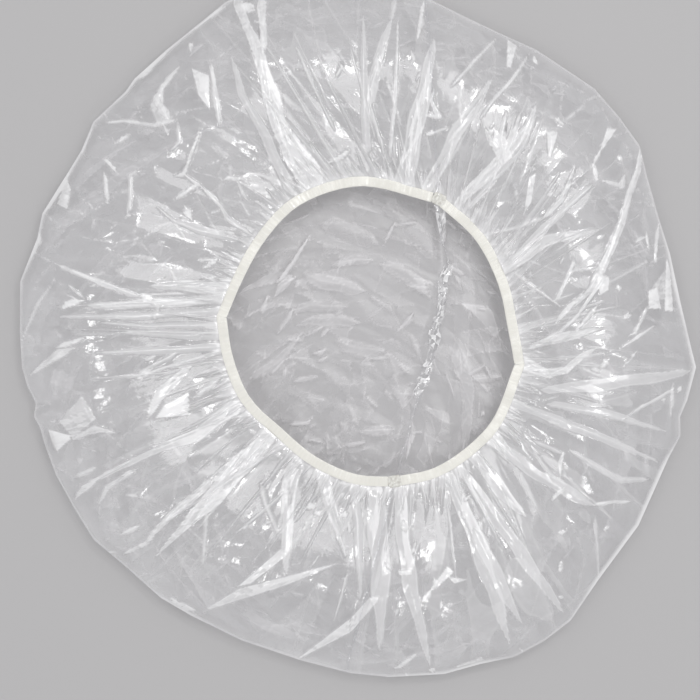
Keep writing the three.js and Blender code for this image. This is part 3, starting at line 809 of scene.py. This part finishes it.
def stretch_share(places, side):
    """How far a place on the mouth follows its half when it is stretched: the sine of its share of the turn
    from the back join to the front join, so nothing at the joins, raised to a power a little above 1."""
    angle = np.arctan2(places[:, 1] - mouth_middle[1], places[:, 0] - mouth_middle[0])
    way = 1 if side == "left" else -1
    turned = np.mod(way * (angle - back_bearing), 2 * np.pi)
    share = turned / np.mod(way * (front_bearing - back_bearing), 2 * np.pi)
    return np.sin(np.pi * np.clip(share, 0, 1)) ** JOIN_STILLNESS


GATHERING = [  # how thickly the pleats stand, by degrees round the cap
    (0, 0.8), (30, 0.8), (60, 1.0), (88, 1.0), (96, 0.5), (112, 0.5), (117, 1.2), (124, 0.35), (160, 0.35),
    (168, 1.4), (190, 1.4), (200, 0.8), (225, 1.3), (240, 1.0), (262, 0.7), (275, 0.4), (325, 0.4),
    (345, 0.7), (359, 0.8),
]
CRUMPLED = [  # how far the film is crumpled into a net of creases instead, by degrees round the cap
    (0, 0.3), (20, 0.6), (50, 0.7), (65, 0.3), (90, 0.2), (116, 0.4), (126, 1.0), (160, 1.0), (170, 0.3),
    (186, 0.3), (200, 0.7), (220, 0.5), (245, 0.4), (262, 0.1), (340, 0.1), (359, 0.3),
]
RIM_GLEAM = [  # how bright the fold's edge line is, a painted highlight, by degrees round the cap
    (0, 0.5), (8, 0.9), (20, 0.3), (60, 0.2), (100, 0.3), (120, 0.5), (128, 1.0), (138, 0.4), (150, 0.7),
    (156, 1.0), (162, 0.5), (166, 0.9), (175, 0.2), (230, 0.2), (238, 0.7), (245, 0.3), (258, 0.4),
    (270, 0.3), (280, 0.6), (290, 0.8), (296, 0.2), (310, 0.5), (316, 0.9), (336, 0.9), (342, 0.2),
    (354, 0.8),
]


def round_cap(table, degrees):
    """A value read from a table of degrees round the cap, by straight runs between its rows."""
    return np.interp(degrees, *zip(*table), period=360)


def crowded_columns(crowding, count):
    """Columns picked at random, the more of them where the summed crowding climbs faster."""
    return np.searchsorted(crowding, draw.random(count) * crowding[-1])


GATHERS = 16               # long folds that run out from the elastic
GATHER_LENGTH = (0.02, 0.07)  # the least, and the most that is added to it
GATHER_SHORTNESS = 1.5     # a power that makes most of them short
GATHER_PART = 3            # their middles lie at this part of their length from the elastic
GATHER = {
    "turn": 0.12, "wide": (0.0008, 0.0024), "rise": (0.0006, 0.0018), "film_and_glint_layers": (1.2, 4), "taper": 0.2,
}
THREADS = 26               # thin folds further out
THREAD_REACH = (0.008, 0.06)
THREAD = {
    "turn": 0.15, "length": (0.012, 0.05), "wide": (0.0005, 0.0010),
    "rise": (0.0002, 0.0006), "film_and_glint_layers": (1, 4), "taper": 0.6,
}
STUBS = 140                # short gathers at the elastic
STUB_REACH = 0.002
STUB = {
    "turn": 0.25, "length": (0.008, 0.026), "wide": (0.0006, 0.0018),
    "rise": (0.0004, 0.0014), "film_and_glint_layers": (1, 6), "taper": 0.3,
}
FLAKES = 30                # short glints anywhere
FLAKE = {
    "turn": 0.7, "length": (0.002, 0.008), "wide": (0.0006, 0.0016),
    "rise": (0.0002, 0.0006), "film_and_glint_layers": (2, 8), "taper": 0.3,
}

BROAD_SIZE = (34, 0.034)   # a facet's columns of the sheet, and its length outwards
BROAD_HEIGHT = 0.0028
BROAD_CREASE = 1.5         # a crease's layers
NARROW_SIZE = (14, 0.019)
NARROW_HEIGHT = 0.0008
NARROW_LOSS = 0.7          # what a net of creases takes from the narrow facets
SMALL_SIZE = (6, 0.007)
SMALL_HEIGHT = 0.00016
RAY_SIZE = (34, 0.04)
RAY_STEPS = 3              # veils that overlap, each growing to a crisp edge
RAY_LAYERS = 1.5
RAY_LOSS = 0.6             # what a net of creases takes from the rays
SLANT = (0.88, 0.48)       # cosine and sine of the net's turn on the table
NET_SIZE = (0.017, 0.013)
NET_HEIGHT = 0.0024
# the crumpled net's creases get layers of painted highlight, glints put in as haze
NET_CREASE = 12
CRUMB_SIZE = (0.0045, 0.0024)
GRAIN_LEAST = 0.5
SKIRT_FOLD_CALM = 0.006    # the pleats die away over this distance to the outer fold
SKIRT_SEAM_CALM = 0.008    # over this share of the leaf's width to its seam
BAND_CALM = 0.006          # and over this distance to the elastic
BAND_LEFT = 0.12           # where this share of them is left
BAND_LAYERS = 2.2          # film drawn in at the elastic, in layers
BAND_FADE = 0.008          # and how far out it fades
GLEAM_LAYERS = 26          # the edge line's most layers, of painted highlight
GLEAM_WIDTH = 1.4          # and how much wider it is there


def skirt_leaf(name, lines, rows, side):
    """The upper half of a leaf: straight runs from the outer fold in to the edge of the elastic, raised by
    the puff and by every fold, flap and facet that crosses it. Also returns how far each point follows the
    mouth's half."""
    v = np.linspace(0, 1, rows + 1)[:, None, None]
    rim, tape = lines["rim"], lines["tape"][:, :2]
    outward = unit(rim - tape)
    edge = tape + outward * TAPE_WIDTH / 2
    plan = rim[None] * (1 - v) + edge[None] * v
    x, y = plan[:, :, 0], plan[:, :, 1]
    span = np.linalg.norm(rim - edge, axis=1)[None]
    reach = v[:, :, 0] * span
    columns = plan.shape[1]
    degrees = np.degrees(np.arctan2(rim[:, 1], rim[:, 0]))
    crumpled = round_cap(CRUMPLED, degrees)[None]
    gleam = round_cap(RIM_GLEAM, degrees)[None]

    crowding = np.cumsum(round_cap(GATHERING, degrees))
    column = crowded_columns(crowding, GATHERS)
    length = GATHER_LENGTH[0] + GATHER_LENGTH[1] * draw.random(GATHERS) ** GATHER_SHORTNESS
    middle = edge[column] + outward[column] * length[:, None] / GATHER_PART
    gathers = scatter_folds(middle, outward[column], length=length, **GATHER)
    column = crowded_columns(crowding, THREADS)
    middle = edge[column] + outward[column] * draw.uniform(*THREAD_REACH, THREADS)[:, None]
    threads = scatter_folds(middle, outward[column], **THREAD)
    column = draw.integers(0, columns, STUBS)
    stubs = scatter_folds(edge[column] + outward[column] * STUB_REACH, outward[column], **STUB)

    # The whole numbers added below only start a net elsewhere on its lattice.
    turns = lines["share"][None] * columns + 0 * reach
    broad, broad_tone, broad_crease = facets(turns / BROAD_SIZE[0], reach / BROAD_SIZE[1], random_corners())
    narrow = facets(turns / NARROW_SIZE[0] + 5, reach / NARROW_SIZE[1], random_corners())[0]
    rays = RAY_STEPS * soft_noise(turns / RAY_SIZE[0], reach / RAY_SIZE[1] + 3, random_corners())
    rays = rays - np.floor(rays)
    small = facets(turns / SMALL_SIZE[0] + 9, reach / SMALL_SIZE[1], random_corners())[0]
    slant_x, slant_y = x * SLANT[0] + y * SLANT[1], y * SLANT[0] - x * SLANT[1]
    crumbs = random_corners()
    net, net_tone, net_crease = facets(slant_x / NET_SIZE[0], slant_y / NET_SIZE[1], crumbs)
    crumb_tone = facets(slant_x / CRUMB_SIZE[0], slant_y / CRUMB_SIZE[1], crumbs)[1]
    grain = GRAIN_LEAST + crumb_tone

    spot = draw.integers(0, rows * columns, FLAKES)
    flakes = scatter_folds(plan.reshape(-1, 2)[spot], outward[spot % columns], **FLAKE)
    every_fold = SKIRT_FOLDS + SKIRT_STREAKS + gathers + threads + stubs + flakes
    height, layers = lay_folds(x, y, every_fold, 0, grain)
    flap_height, flap_layers = lay_flaps(x, y, SKIRT_FLAPS, grain)
    height = height + flap_height + BROAD_HEIGHT * (broad - 0.5) + SMALL_HEIGHT * small
    height = height + NARROW_HEIGHT * narrow * (1 - NARROW_LOSS * crumpled) + NET_HEIGHT * net * crumpled
    layers = layers + flap_layers + RAY_LAYERS * rays ** 2 * (1 - RAY_LOSS * crumpled)
    layers = layers + BROAD_CREASE * broad_crease * broad_tone ** 2
    layers = layers + NET_CREASE * net_crease * net_tone ** 3 * crumb_tone ** 2 * crumpled
    to_seam = np.minimum(lines["share"], 1 - lines["share"])[None]
    to_band = span - reach
    calm = ease(reach / SKIRT_FOLD_CALM) * ease(to_seam / SKIRT_SEAM_CALM)
    calm = calm * (BAND_LEFT + (1 - BAND_LEFT) * ease(to_band / BAND_CALM))
    z = puff(reach, span) + height * calm
    # the fold's edge line: one layer of film seen edge on, and a painted highlight where RIM_GLEAM is high
    edge_line = np.exp(-((reach / (RIM_EDGE * (1 + GLEAM_WIDTH * gleam))) ** 2))
    layers = layers + (1 + GLEAM_LAYERS * gleam ** 2) * edge_line
    layers = layers + BAND_LAYERS * np.exp(-to_band / BAND_FADE)
    piece = film_sheet(name, np.dstack([plan, z]), film_haze(SKIRT_LAYERS + layers))
    return piece, stretch_share(lines["tape"], side)[None] * v[:, :, 0] ** SKIRT_FOLLOW


skirt_film = clear_film("skirt film", SKIRT_TINT, face_on=0.07, roughness=0.10, crinkle=0.20)
for side in SIDES:
    lines = leaf_lines(SKIRT_COLUMNS[side], side)
    piece, weights = skirt_leaf(f"{side}_skirt_film", lines, SKIRT_ROWS[side], side)
    piece.data.materials.append(skirt_film)
    bend_with(piece)
    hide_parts(f"{side}_panel")

# Elastics.
# Two flat off-white elastics, 4.6 mm wide, are caught in the folded edges of the leaves and draw the mouth
# in. They are knitted rubber threads, so the tape has fine ribs along its length and is slightly uneven.

TAPE_THICKNESS = 0.0008
TAPE_STATIONS = 460
TAPE_SIDES = 32
TAPE_BLUNT = (0.3, 0.6)    # powers that square off the section's width and thickness
TAPE_DIP = ((0.0003, 46, 1.0), (0.0002, 97, 0.0))  # the tape's dip, as waves along its run
TAPE_ROLL = ((0.05, 23, 0.0), (0.04, 61, 2.0))  # and its roll
TAPE_HOLLOW_SHADE_AND_RIB_COLOURS = ((0.855, 0.836, 0.7533, 1), (0.90, 0.88, 0.81, 1))  # painted shade in the hollows, and the tape's own colour on the ribs
TAPE_ROUGHNESS = 0.6
TAPE_SHEEN = 0.2
RIB_SCALE = (260, 9, 1)    # ribs along the tape, round its section
RIB_DEPTH = 0.0002
RIB_STRENGTH = 0.35
RIB_STOPS = (0.3, 0.7)     # where the noise has each of the two colours


def blunt(wave, power):
    """A sine or cosine squared off: its sign times a power of its size."""
    return np.sign(wave) * np.abs(wave) ** power


def waves(run, parts):
    """A sum of sines along a run, each with its height, its turn in radians over the run, and its start."""
    return sum(height * np.sin(turn * run + start) for height, turn, start in parts)


def path_frames(line, stations):
    """Resamples a line and gives each station its place and the flat direction that points away from the
    mouth."""
    path = along_line(line, np.linspace(0, 1, stations))
    tangent = np.gradient(path[:, :2], axis=0)
    side = unit(np.stack([tangent[:, 1], -tangent[:, 0]], 1))
    outside = np.sign(((path[:, :2] - mouth_middle) * side).sum(1))
    return path, side * outside[:, None]


def along_tape(line, stations, wide, thick):
    """Carries a section along the mouth: its width lies flat and points away from the mouth, and its
    thickness stands up. On the way it rises, dips and rolls a little with the tape."""
    path, side = path_frames(line, stations)
    run = np.linspace(0, 1, stations)[:, None]
    plan = path[:, None, :2] + side[:, None] * (wide + 0 * run)[:, :, None]
    return np.dstack([plan, path[:, None, 2] + waves(run, TAPE_DIP) + thick + waves(run, TAPE_ROLL) * wide])


def closed_tube(name, grid):
    """A tube from a grid of stations by points round the section, with each end closed by one flat face."""
    stations, sides = grid.shape[:2]
    corner = np.arange(stations * sides).reshape(stations, sides)
    ahead = np.roll(corner, -1, axis=1)
    faces = np.stack([corner[:-1], ahead[:-1], ahead[1:], corner[1:]], -1).reshape(-1, 4).tolist()
    return add_piece(name, grid, faces + [corner[0, ::-1].tolist(), corner[-1].tolist()])


def two_tone(material, stops, colours):
    """A colour ramp from the first colour at the first stop to the second colour at the second."""
    ramp = new_node(material, "ValToRGB")
    for stop, position, colour in zip(ramp.color_ramp.elements, stops, colours):
        stop.position = position
        stop.color = colour
    return ramp


def knitted_elastic(name):
    """Off-white elastic: fine ribs along the tape, with painted shade in their hollows, read from the tape's
    own run and width."""
    material = bpy.data.materials.new(name)
    material.use_nodes = True
    surface = material.node_tree.nodes["Principled BSDF"]
    surface.inputs["Roughness"].default_value = TAPE_ROUGHNESS
    surface.inputs["Sheen Weight"].default_value = TAPE_SHEEN
    place = new_node(material, "UVMap")
    place.uv_map = "tape"
    spread = new_node(material, "Mapping", Scale=RIB_SCALE)
    ribs = new_node(material, "TexNoise", Scale=1, Detail=2)
    colours = two_tone(material, RIB_STOPS, TAPE_HOLLOW_SHADE_AND_RIB_COLOURS)
    bump = new_node(material, "Bump", Strength=RIB_STRENGTH, Distance=RIB_DEPTH)
    wire(
        material,
        (place, "UV", spread, "Vector"),
        (spread, "Vector", ribs, "Vector"),
        (ribs, "Fac", colours, "Fac"),
        (colours, "Color", surface, "Base Color"),
        (ribs, "Fac", bump, "Height"),
        (bump, "Normal", surface, "Normal"),
    )
    return material


def tape_map(piece):
    """Lays the tape out flat: the run along the tape across the map, and the way round the section up
    it."""
    layer = piece.data.uv_layers.new(name="tape")
    vertex = np.empty(len(piece.data.loops), int)
    piece.data.loops.foreach_get("vertex_index", vertex)
    spots = np.stack([(vertex // TAPE_SIDES) / (TAPE_STATIONS - 1), (vertex % TAPE_SIDES) / TAPE_SIDES], 1)
    layer.data.foreach_set("uv", spots.ravel().astype(np.float32))


elastic = knitted_elastic("elastic")
tape_turn = np.linspace(0, 2 * np.pi, TAPE_SIDES, endpoint=False)[None]
tape_wide = TAPE_WIDTH / 2 * blunt(np.cos(tape_turn), TAPE_BLUNT[0])
tape_thick = TAPE_THICKNESS / 2 * blunt(np.sin(tape_turn), TAPE_BLUNT[1])
for side in SIDES:
    shape = along_tape(tape_lines[side], TAPE_STATIONS, tape_wide, tape_thick)
    piece = closed_tube(f"{side}_tape", shape)
    tape_map(piece)
    piece.data.materials.append(elastic)
    bend_with(piece)
    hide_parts(f"{side}_elastic")

# Hem sleeves.
# The edge of each leaf is folded over its elastic and welded, so one layer of film wraps the tape. It is
# drawn up by the elastic into fine cross ripples.

HEM_SLACK = 0.00025
HEM_SIDES = 40
HEM_STATIONS = 900
HEM_GAP = 0.06             # the angle left open to each side of the sleeve's outer edge
HEM_RIPPLES = ((517, 2), (771, -1.3), (1090, 3))  # each wave's turn along the hem, and round it
HEM_RIPPLE = 0.00004
HEM_LAYERS = 0.7
HEM_RIPPLE_LAYERS = 0.15


def hem_shape(line):
    """A film sleeve round the tape: the tape's blunt section a little larger, open on its outer side, with
    cross ripples that are sums of waves along the run. Also returns the film's haze."""
    turn = np.linspace(HEM_GAP, 2 * np.pi - HEM_GAP, HEM_SIDES)[None]
    run = np.linspace(0, 1, HEM_STATIONS)[:, None]
    wide = (TAPE_WIDTH / 2 + HEM_SLACK) * blunt(np.cos(turn), TAPE_BLUNT[0])
    thick = (TAPE_THICKNESS / 2 + HEM_SLACK) * blunt(np.sin(turn), TAPE_BLUNT[1])
    ripple = sum(np.sin(along * run + around * turn) for along, around in HEM_RIPPLES)
    thick = thick + HEM_RIPPLE * ripple * np.sin(turn)
    haze = film_haze(HEM_LAYERS + HEM_RIPPLE_LAYERS * ripple.clip(0, len(HEM_RIPPLES)))
    return along_tape(line, HEM_STATIONS, wide, thick), haze


hem_film = clear_film("hem film", SKIRT_TINT, face_on=0.05, roughness=0.18, crinkle=0.2)
for side in SIDES:
    shape, haze = hem_shape(tape_lines[side])
    piece = film_sheet(f"{side}_hem_film", shape, haze)
    piece.data.materials.append(hem_film)
    bend_with(piece)
    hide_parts(f"{side}_hem")

# Crown seam.
# The two leaves are cut and welded together by one hot wire, which leaves a narrow bead of melted film from
# the back join, over the crown, to the front join. It shrinks as it cools into a chain of bright crinkles.

SEAM_STATIONS = 2400
SEAM_SKIRT_PART = 4        # each run down the skirt takes this part of them
SEAM_POINTS = 17
SEAM_HALF = 0.0030
SEAM_NARROW = 0.25         # share of the half-width where no flecks show
SEAM_UNEVEN = (0.5, 0.8)   # the least share of the width, and the most that is added
SEAM_UNEVEN_RUN = 17       # stations over which the width changes
SEAM_SWAY = 0.4            # how far the bead sways, in half-widths
SEAM_SWAY_RUN = 29
SEAM_LIFT = 0.0008
SEAM_ARCH = 0.6            # how far the bead's edges drop, as a share of its lift
SEAM_CRINKLE = 0.0014
SEAM_FLECK = 11            # stations along the seam to one fleck
SEAM_FLECKS_ACROSS = 1.4   # flecks to half the width
SEAM_DULL = 0.1            # what is left of the crinkles, and the layers, without a gleam
FLECK_START = 4            # where the net of flecks starts on its lattice
# the flecks' layers are painted highlights, glints put in as haze
FLECK_LAYERS = 30
FLECK_CREASE = 3
SEAM_GLEAM = [  # how bright the flecks' painted highlights are, by pixels down the photograph
    (190, 0), (200, 0.12), (258, 0.12), (266, 1.0), (300, 0.8), (330, 0.7), (350, 0.8), (372, 1.0),
    (392, 1.0), (402, 0.2), (430, 0.12), (470, 0.12), (480, 0),
]
SEAM_WANDER = [  # how far the bead wanders to the right, in pixels, by pixels down the photograph
    (240, 0), (262, 6), (282, 0), (330, 0), (357, 3), (392, 0),
]


def seam_path(stations):
    """The seam's line in space, in three runs: down the skirt from the back join to the fold, across the
    crown, and up the skirt to the front join. A row holds a place, how far it follows the mouth rather than
    the crown, and the flat direction to the seam's right."""
    share = np.linspace(0, 1, stations // SEAM_SKIRT_PART)
    runs = []
    for rim, join in ((seam_back, back_join), (seam_front, front_join)):
        plan = rim + (join - rim) * share[:, None]
        span = np.linalg.norm(join - rim)
        runs.append(np.column_stack([plan, puff(share * span, span), np.ones(len(share))]))
    middle = seam_points(np.linspace(0, 1, stations - 2 * len(share)))
    runs.insert(1, np.column_stack([middle, rolled_up(middle), lift_share(middle)])[1:-1])
    runs[0] = runs[0][::-1]
    tangent = np.vstack([np.gradient(run[:, :2], axis=0) for run in runs])
    right = unit(np.stack([tangent[:, 1], -tangent[:, 0]], 1))
    return np.hstack([np.vstack(runs), right * np.sign(right[:, :1])])


def uneven(size, reach):
    """Seeded noise along the seam, smoothed over a number of stations and brought to 0 to 1."""
    noise = np.convolve(draw.random(size + reach - 1), np.full(reach, 1 / reach), "valid")
    return np.clip((noise - noise.min()) / (noise.max() - noise.min()), 0, 1)


def seam_ribbon():
    """A narrow ribbon along the seam: a low arch across, which wanders to both sides, crumpled into a net
    of small flat flecks. Each fleck has a painted highlight, put in as haze, by a tone of its own, and most
    of them little. Returns the ribbon, its haze, and how far it follows the mouth."""
    path = seam_path(SEAM_STATIONS)
    size = len(path)
    across = np.linspace(-1, 1, SEAM_POINTS)[None]
    row = PIXEL_MIDDLE[1] - path[:, 1] / PIXEL
    gleam = np.interp(row, *zip(*SEAM_GLEAM))[:, None]
    wide = SEAM_HALF * (SEAM_NARROW + (1 - SEAM_NARROW) * ease(gleam))
    wide = wide * (SEAM_UNEVEN[0] + SEAM_UNEVEN[1] * uneven(size, SEAM_UNEVEN_RUN))[:, None]
    shift = SEAM_HALF * SEAM_SWAY * (uneven(size, SEAM_SWAY_RUN) - 0.5)[:, None]
    shift = shift + PIXEL * np.interp(row, *zip(*SEAM_WANDER))[:, None]
    station = np.arange(size)[:, None] + 0 * across
    flecks_across = SEAM_FLECKS_ACROSS * across + FLECK_START + 0 * station
    crumple, tone, crease = facets(station / SEAM_FLECK, flecks_across, random_corners())
    plan = path[:, None, :2] + path[:, None, 4:] * (across * wide + shift)[:, :, None]
    arch = SEAM_LIFT * (1 - SEAM_ARCH * across ** 2)
    z = path[:, None, 2] + arch + SEAM_CRINKLE * (SEAM_DULL + gleam) * crumple
    haze = film_haze(SEAM_DULL + gleam * (FLECK_LAYERS * tone ** 3 + FLECK_CREASE * crease))
    return np.dstack([plan, z]), haze, np.repeat(path[:, 3:4], SEAM_POINTS, 1)


seam_film = clear_film("seam film", SKIRT_TINT, face_on=0.10, roughness=0.12, crinkle=0.3)
shape, haze, follow = seam_ribbon()
seam_bead = film_sheet("crown_seam_bead", shape, haze)
seam_bead.data.materials.append(seam_film)
bend_with(seam_bead)
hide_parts("crown_seam")

# Side welds.
# Where the two elastics meet, film and tape ends are pressed and melted into one small stiff tab. At the
# back a short crinkled tail of the weld hangs into the mouth.

TAB_LENGTH = 0.0064
TAB_HALF_WIDTH = 0.0028
TAB_HALF_HEIGHT = 0.00095
TAB_STATIONS = 40
TAB_SIDES = 40
TAB_END = 0.98             # the share of the half-length at which the tab is cut flat
TAB_BLUNT = (0.4, 0.6)     # powers that square off its width and height
TAB_CORNERS = (6, 3)       # power and root that round its ends
TAB_GRID = (0.12, 19, 3)   # the pressed grid's depth, and its waves along the tab and round it
TAB_SLANT = (0.08, 31, 2)  # and those of a slanting wave over it
TAIL_WAY = np.array([0.13, -0.99])  # the flat direction in which the tail hangs
TAIL_LENGTH = 0.019
TAIL_HALF = 0.0024
TAIL_NARROWING = 0.6
TAIL_DROOP = 0.010
TAIL_CRUMPLE = 0.0016
TAIL_STATIONS = 90
TAIL_POINTS = 24
TAIL_FLECKS = (6, 1.5)     # along the tail, and to half its width
TAIL_LAYERS = (0.5, 20, 3)  # all over, for the brightest fleck's painted highlight, and on a crease
# painted shade in the pits, and the melted film's own off-white on top
MELTED_PIT_SHADE_AND_TOP_COLOURS = ((0.62, 0.60, 0.55, 1), (0.84, 0.83, 0.78, 1))
MELTED_ROUGHNESS = 0.25
PIT_SCALE = 900            # pits to a metre
PIT_DEPTH = 0.0003
PIT_STRENGTH = 0.5
PIT_STOPS = (0.35, 0.65)


def tab_shape(join, inward):
    """A small pillow across the tape ends: a blunt section that narrows to both ends, with pressed dents,
    which are a grid of crossing waves and one slanting wave."""
    run = np.linspace(-TAB_END, TAB_END, TAB_STATIONS)[:, None]
    turn = np.linspace(0, 2 * np.pi, TAB_SIDES, endpoint=False)[None]
    taper = (1 - run ** TAB_CORNERS[0]) ** (1 / TAB_CORNERS[1])
    wide = TAB_HALF_WIDTH * taper * blunt(np.cos(turn), TAB_BLUNT[0])
    grid = TAB_GRID[0] * np.sin(TAB_GRID[1] * run) * np.sin(TAB_GRID[2] * turn)
    dents = 1 + grid + TAB_SLANT[0] * np.sin(TAB_SLANT[1] * run + TAB_SLANT[2] * turn)
    thick = TAB_HALF_HEIGHT * taper * dents * blunt(np.sin(turn), TAB_BLUNT[1])
    along = np.array([-inward[1], inward[0]])
    plan = join + along * (run * TAB_LENGTH / 2 + 0 * turn)[..., None] - inward * wide[..., None]
    return np.dstack([plan, mouth_height + thick])


def tail_shape(join):
    """A short ribbon that leaves the tab towards the mouth and droops as the square of its run, crumpled
    into a net of small flat flecks that each have a painted highlight, put in as haze, by a tone of their
    own. Returns the ribbon and its haze."""
    run = np.linspace(0, 1, TAIL_STATIONS)[:, None] + np.zeros(TAIL_POINTS)
    across = np.linspace(-1, 1, TAIL_POINTS)[None] + 0 * run
    sideways = np.array([-TAIL_WAY[1], TAIL_WAY[0]])
    flecks_across = TAIL_FLECKS[1] * across + FLECK_START
    crumple, tone, crease = facets(TAIL_FLECKS[0] * run, flecks_across, random_corners())
    half = TAIL_HALF * (1 - TAIL_NARROWING * run ** 2) * across
    plan = join + TAIL_WAY * (run * TAIL_LENGTH)[..., None] + sideways * half[..., None]
    z = mouth_height - TAIL_DROOP * run ** 2 + TAIL_CRUMPLE * (crumple - 0.5)
    haze = film_haze(TAIL_LAYERS[0] + TAIL_LAYERS[1] * tone ** 3 + TAIL_LAYERS[2] * crease)
    return np.dstack([plan, z]), haze


def melted_film(name):
    """Film and elastic melted together: off-white, glossy and pitted, with painted shade in the pits, the
    shade and the pits from one fine noise."""
    material = bpy.data.materials.new(name)
    material.use_nodes = True
    surface = material.node_tree.nodes["Principled BSDF"]
    surface.inputs["Roughness"].default_value = MELTED_ROUGHNESS
    place = new_node(material, "TexCoord")
    pits = new_node(material, "TexNoise", Scale=PIT_SCALE)
    colours = two_tone(material, PIT_STOPS, MELTED_PIT_SHADE_AND_TOP_COLOURS)
    bump = new_node(material, "Bump", Strength=PIT_STRENGTH, Distance=PIT_DEPTH)
    wire(
        material,
        (place, "Object", pits, "Vector"),
        (pits, "Fac", colours, "Fac"),
        (colours, "Color", surface, "Base Color"),
        (pits, "Fac", bump, "Height"),
        (bump, "Normal", surface, "Normal"),
    )
    return material


melted = melted_film("melted film")
for name, join, node in (
    ("back_join_tab", back_join, "back_side_weld"),
    ("front_join_tab", front_join, "front_side_weld"),
):
    piece = closed_tube(name, tab_shape(join, unit(mouth_middle - join)))
    piece.data.materials.append(melted)
    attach(piece, "mouth")
    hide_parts(node)

tail = film_sheet("back_join_tail", *tail_shape(back_join))
tail.data.materials.append(seam_film)
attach(tail, "mouth")

# Floor, lamps and camera.
# A plain pale table under even studio light, with one large soft box and six small lamps round it that give
# the film its glints. The camera looks down from almost straight above, as the photograph does.

scene = bpy.context.scene
FLOOR_SIZE = 6.0
FLOOR_COLOUR = (0.50, 0.49, 0.49, 1)
FLOOR_ROUGHNESS = 0.7
STUDIO_COLOUR = (0.97, 0.98, 1.0, 1)
STUDIO_STRENGTH = 0.65
SOFT_BOX_SIZE = 0.85
SOFT_BOX_PLACE = (0.35, 0.45, 1.5)
SOFT_BOX_POWER = 5.0
LAMP_DISTANCE = 1.3
LAMPS = [  # azimuth and elevation in degrees, disc radius and power
    (55, 58, 0.08, 0.8), (110, 66, 0.07, 0.5), (175, 60, 0.07, 0.5),
    (240, 62, 0.07, 0.5), (300, 56, 0.07, 0.5), (10, 70, 0.07, 0.5),
]
CAMERA_DISTANCE = 1.15
CAMERA_ELEVATION = math.radians(89)
CAMERA_TARGET = (-0.0028, -0.0087, 0.012)
IMAGE_WIDTH = 700          # pixels across the photograph
SENSOR_WIDTH = 36

floor_corners = np.array([(-1, -1, 0), (1, -1, 0), (1, 1, 0), (-1, 1, 0)]) * FLOOR_SIZE / 2
floor = add_piece("floor", floor_corners, [(0, 1, 2, 3)])
table = bpy.data.materials.new("table")
table.use_nodes = True
table_surface = table.node_tree.nodes["Principled BSDF"]
table_surface.inputs["Base Color"].default_value = FLOOR_COLOUR
table_surface.inputs["Roughness"].default_value = FLOOR_ROUGHNESS
floor.data.materials.append(table)

world = bpy.data.worlds.new("studio")
scene.world = world
world.use_nodes = True
world.node_tree.nodes["Background"].inputs["Color"].default_value = STUDIO_COLOUR
world.node_tree.nodes["Background"].inputs["Strength"].default_value = STUDIO_STRENGTH


def hang_lamp(name, shape, size, power, place):
    """An area lamp that faces the middle of the table: turned by its bearing, and tilted by its angle from
    straight above."""
    lamp = bpy.data.lights.new(name, "AREA")
    lamp.shape = shape
    lamp.size = size
    lamp.energy = power
    stand = bpy.data.objects.new(name, lamp)
    stand.location = place
    tilt = math.atan2(math.hypot(place[0], place[1]), place[2])
    stand.rotation_euler = (tilt, 0, math.atan2(place[1], place[0]) + math.pi / 2)
    scene.collection.objects.link(stand)


for number, (azimuth, elevation, radius, power) in enumerate(LAMPS):
    azimuth, elevation = math.radians(azimuth), math.radians(elevation)
    reach = LAMP_DISTANCE * math.cos(elevation)
    place = (reach * math.cos(azimuth), reach * math.sin(azimuth), LAMP_DISTANCE * math.sin(elevation))
    hang_lamp(f"lamp {number}", "DISK", radius * 2, power, place)
hang_lamp("soft box", "SQUARE", SOFT_BOX_SIZE, SOFT_BOX_POWER, SOFT_BOX_PLACE)

camera = bpy.data.cameras.new("camera")
camera.sensor_width = SENSOR_WIDTH
camera.lens = SENSOR_WIDTH * CAMERA_DISTANCE / (IMAGE_WIDTH * PIXEL)
camera_stand = bpy.data.objects.new("camera", camera)
camera_stand.location = (
    CAMERA_TARGET[0],
    CAMERA_TARGET[1] - CAMERA_DISTANCE * math.cos(CAMERA_ELEVATION),
    CAMERA_TARGET[2] + CAMERA_DISTANCE * math.sin(CAMERA_ELEVATION),
)
camera_stand.rotation_euler = (math.pi / 2 - CAMERA_ELEVATION, 0, 0)
scene.collection.objects.link(camera_stand)
scene.camera = camera_stand
scene.view_settings.view_transform = "Standard"
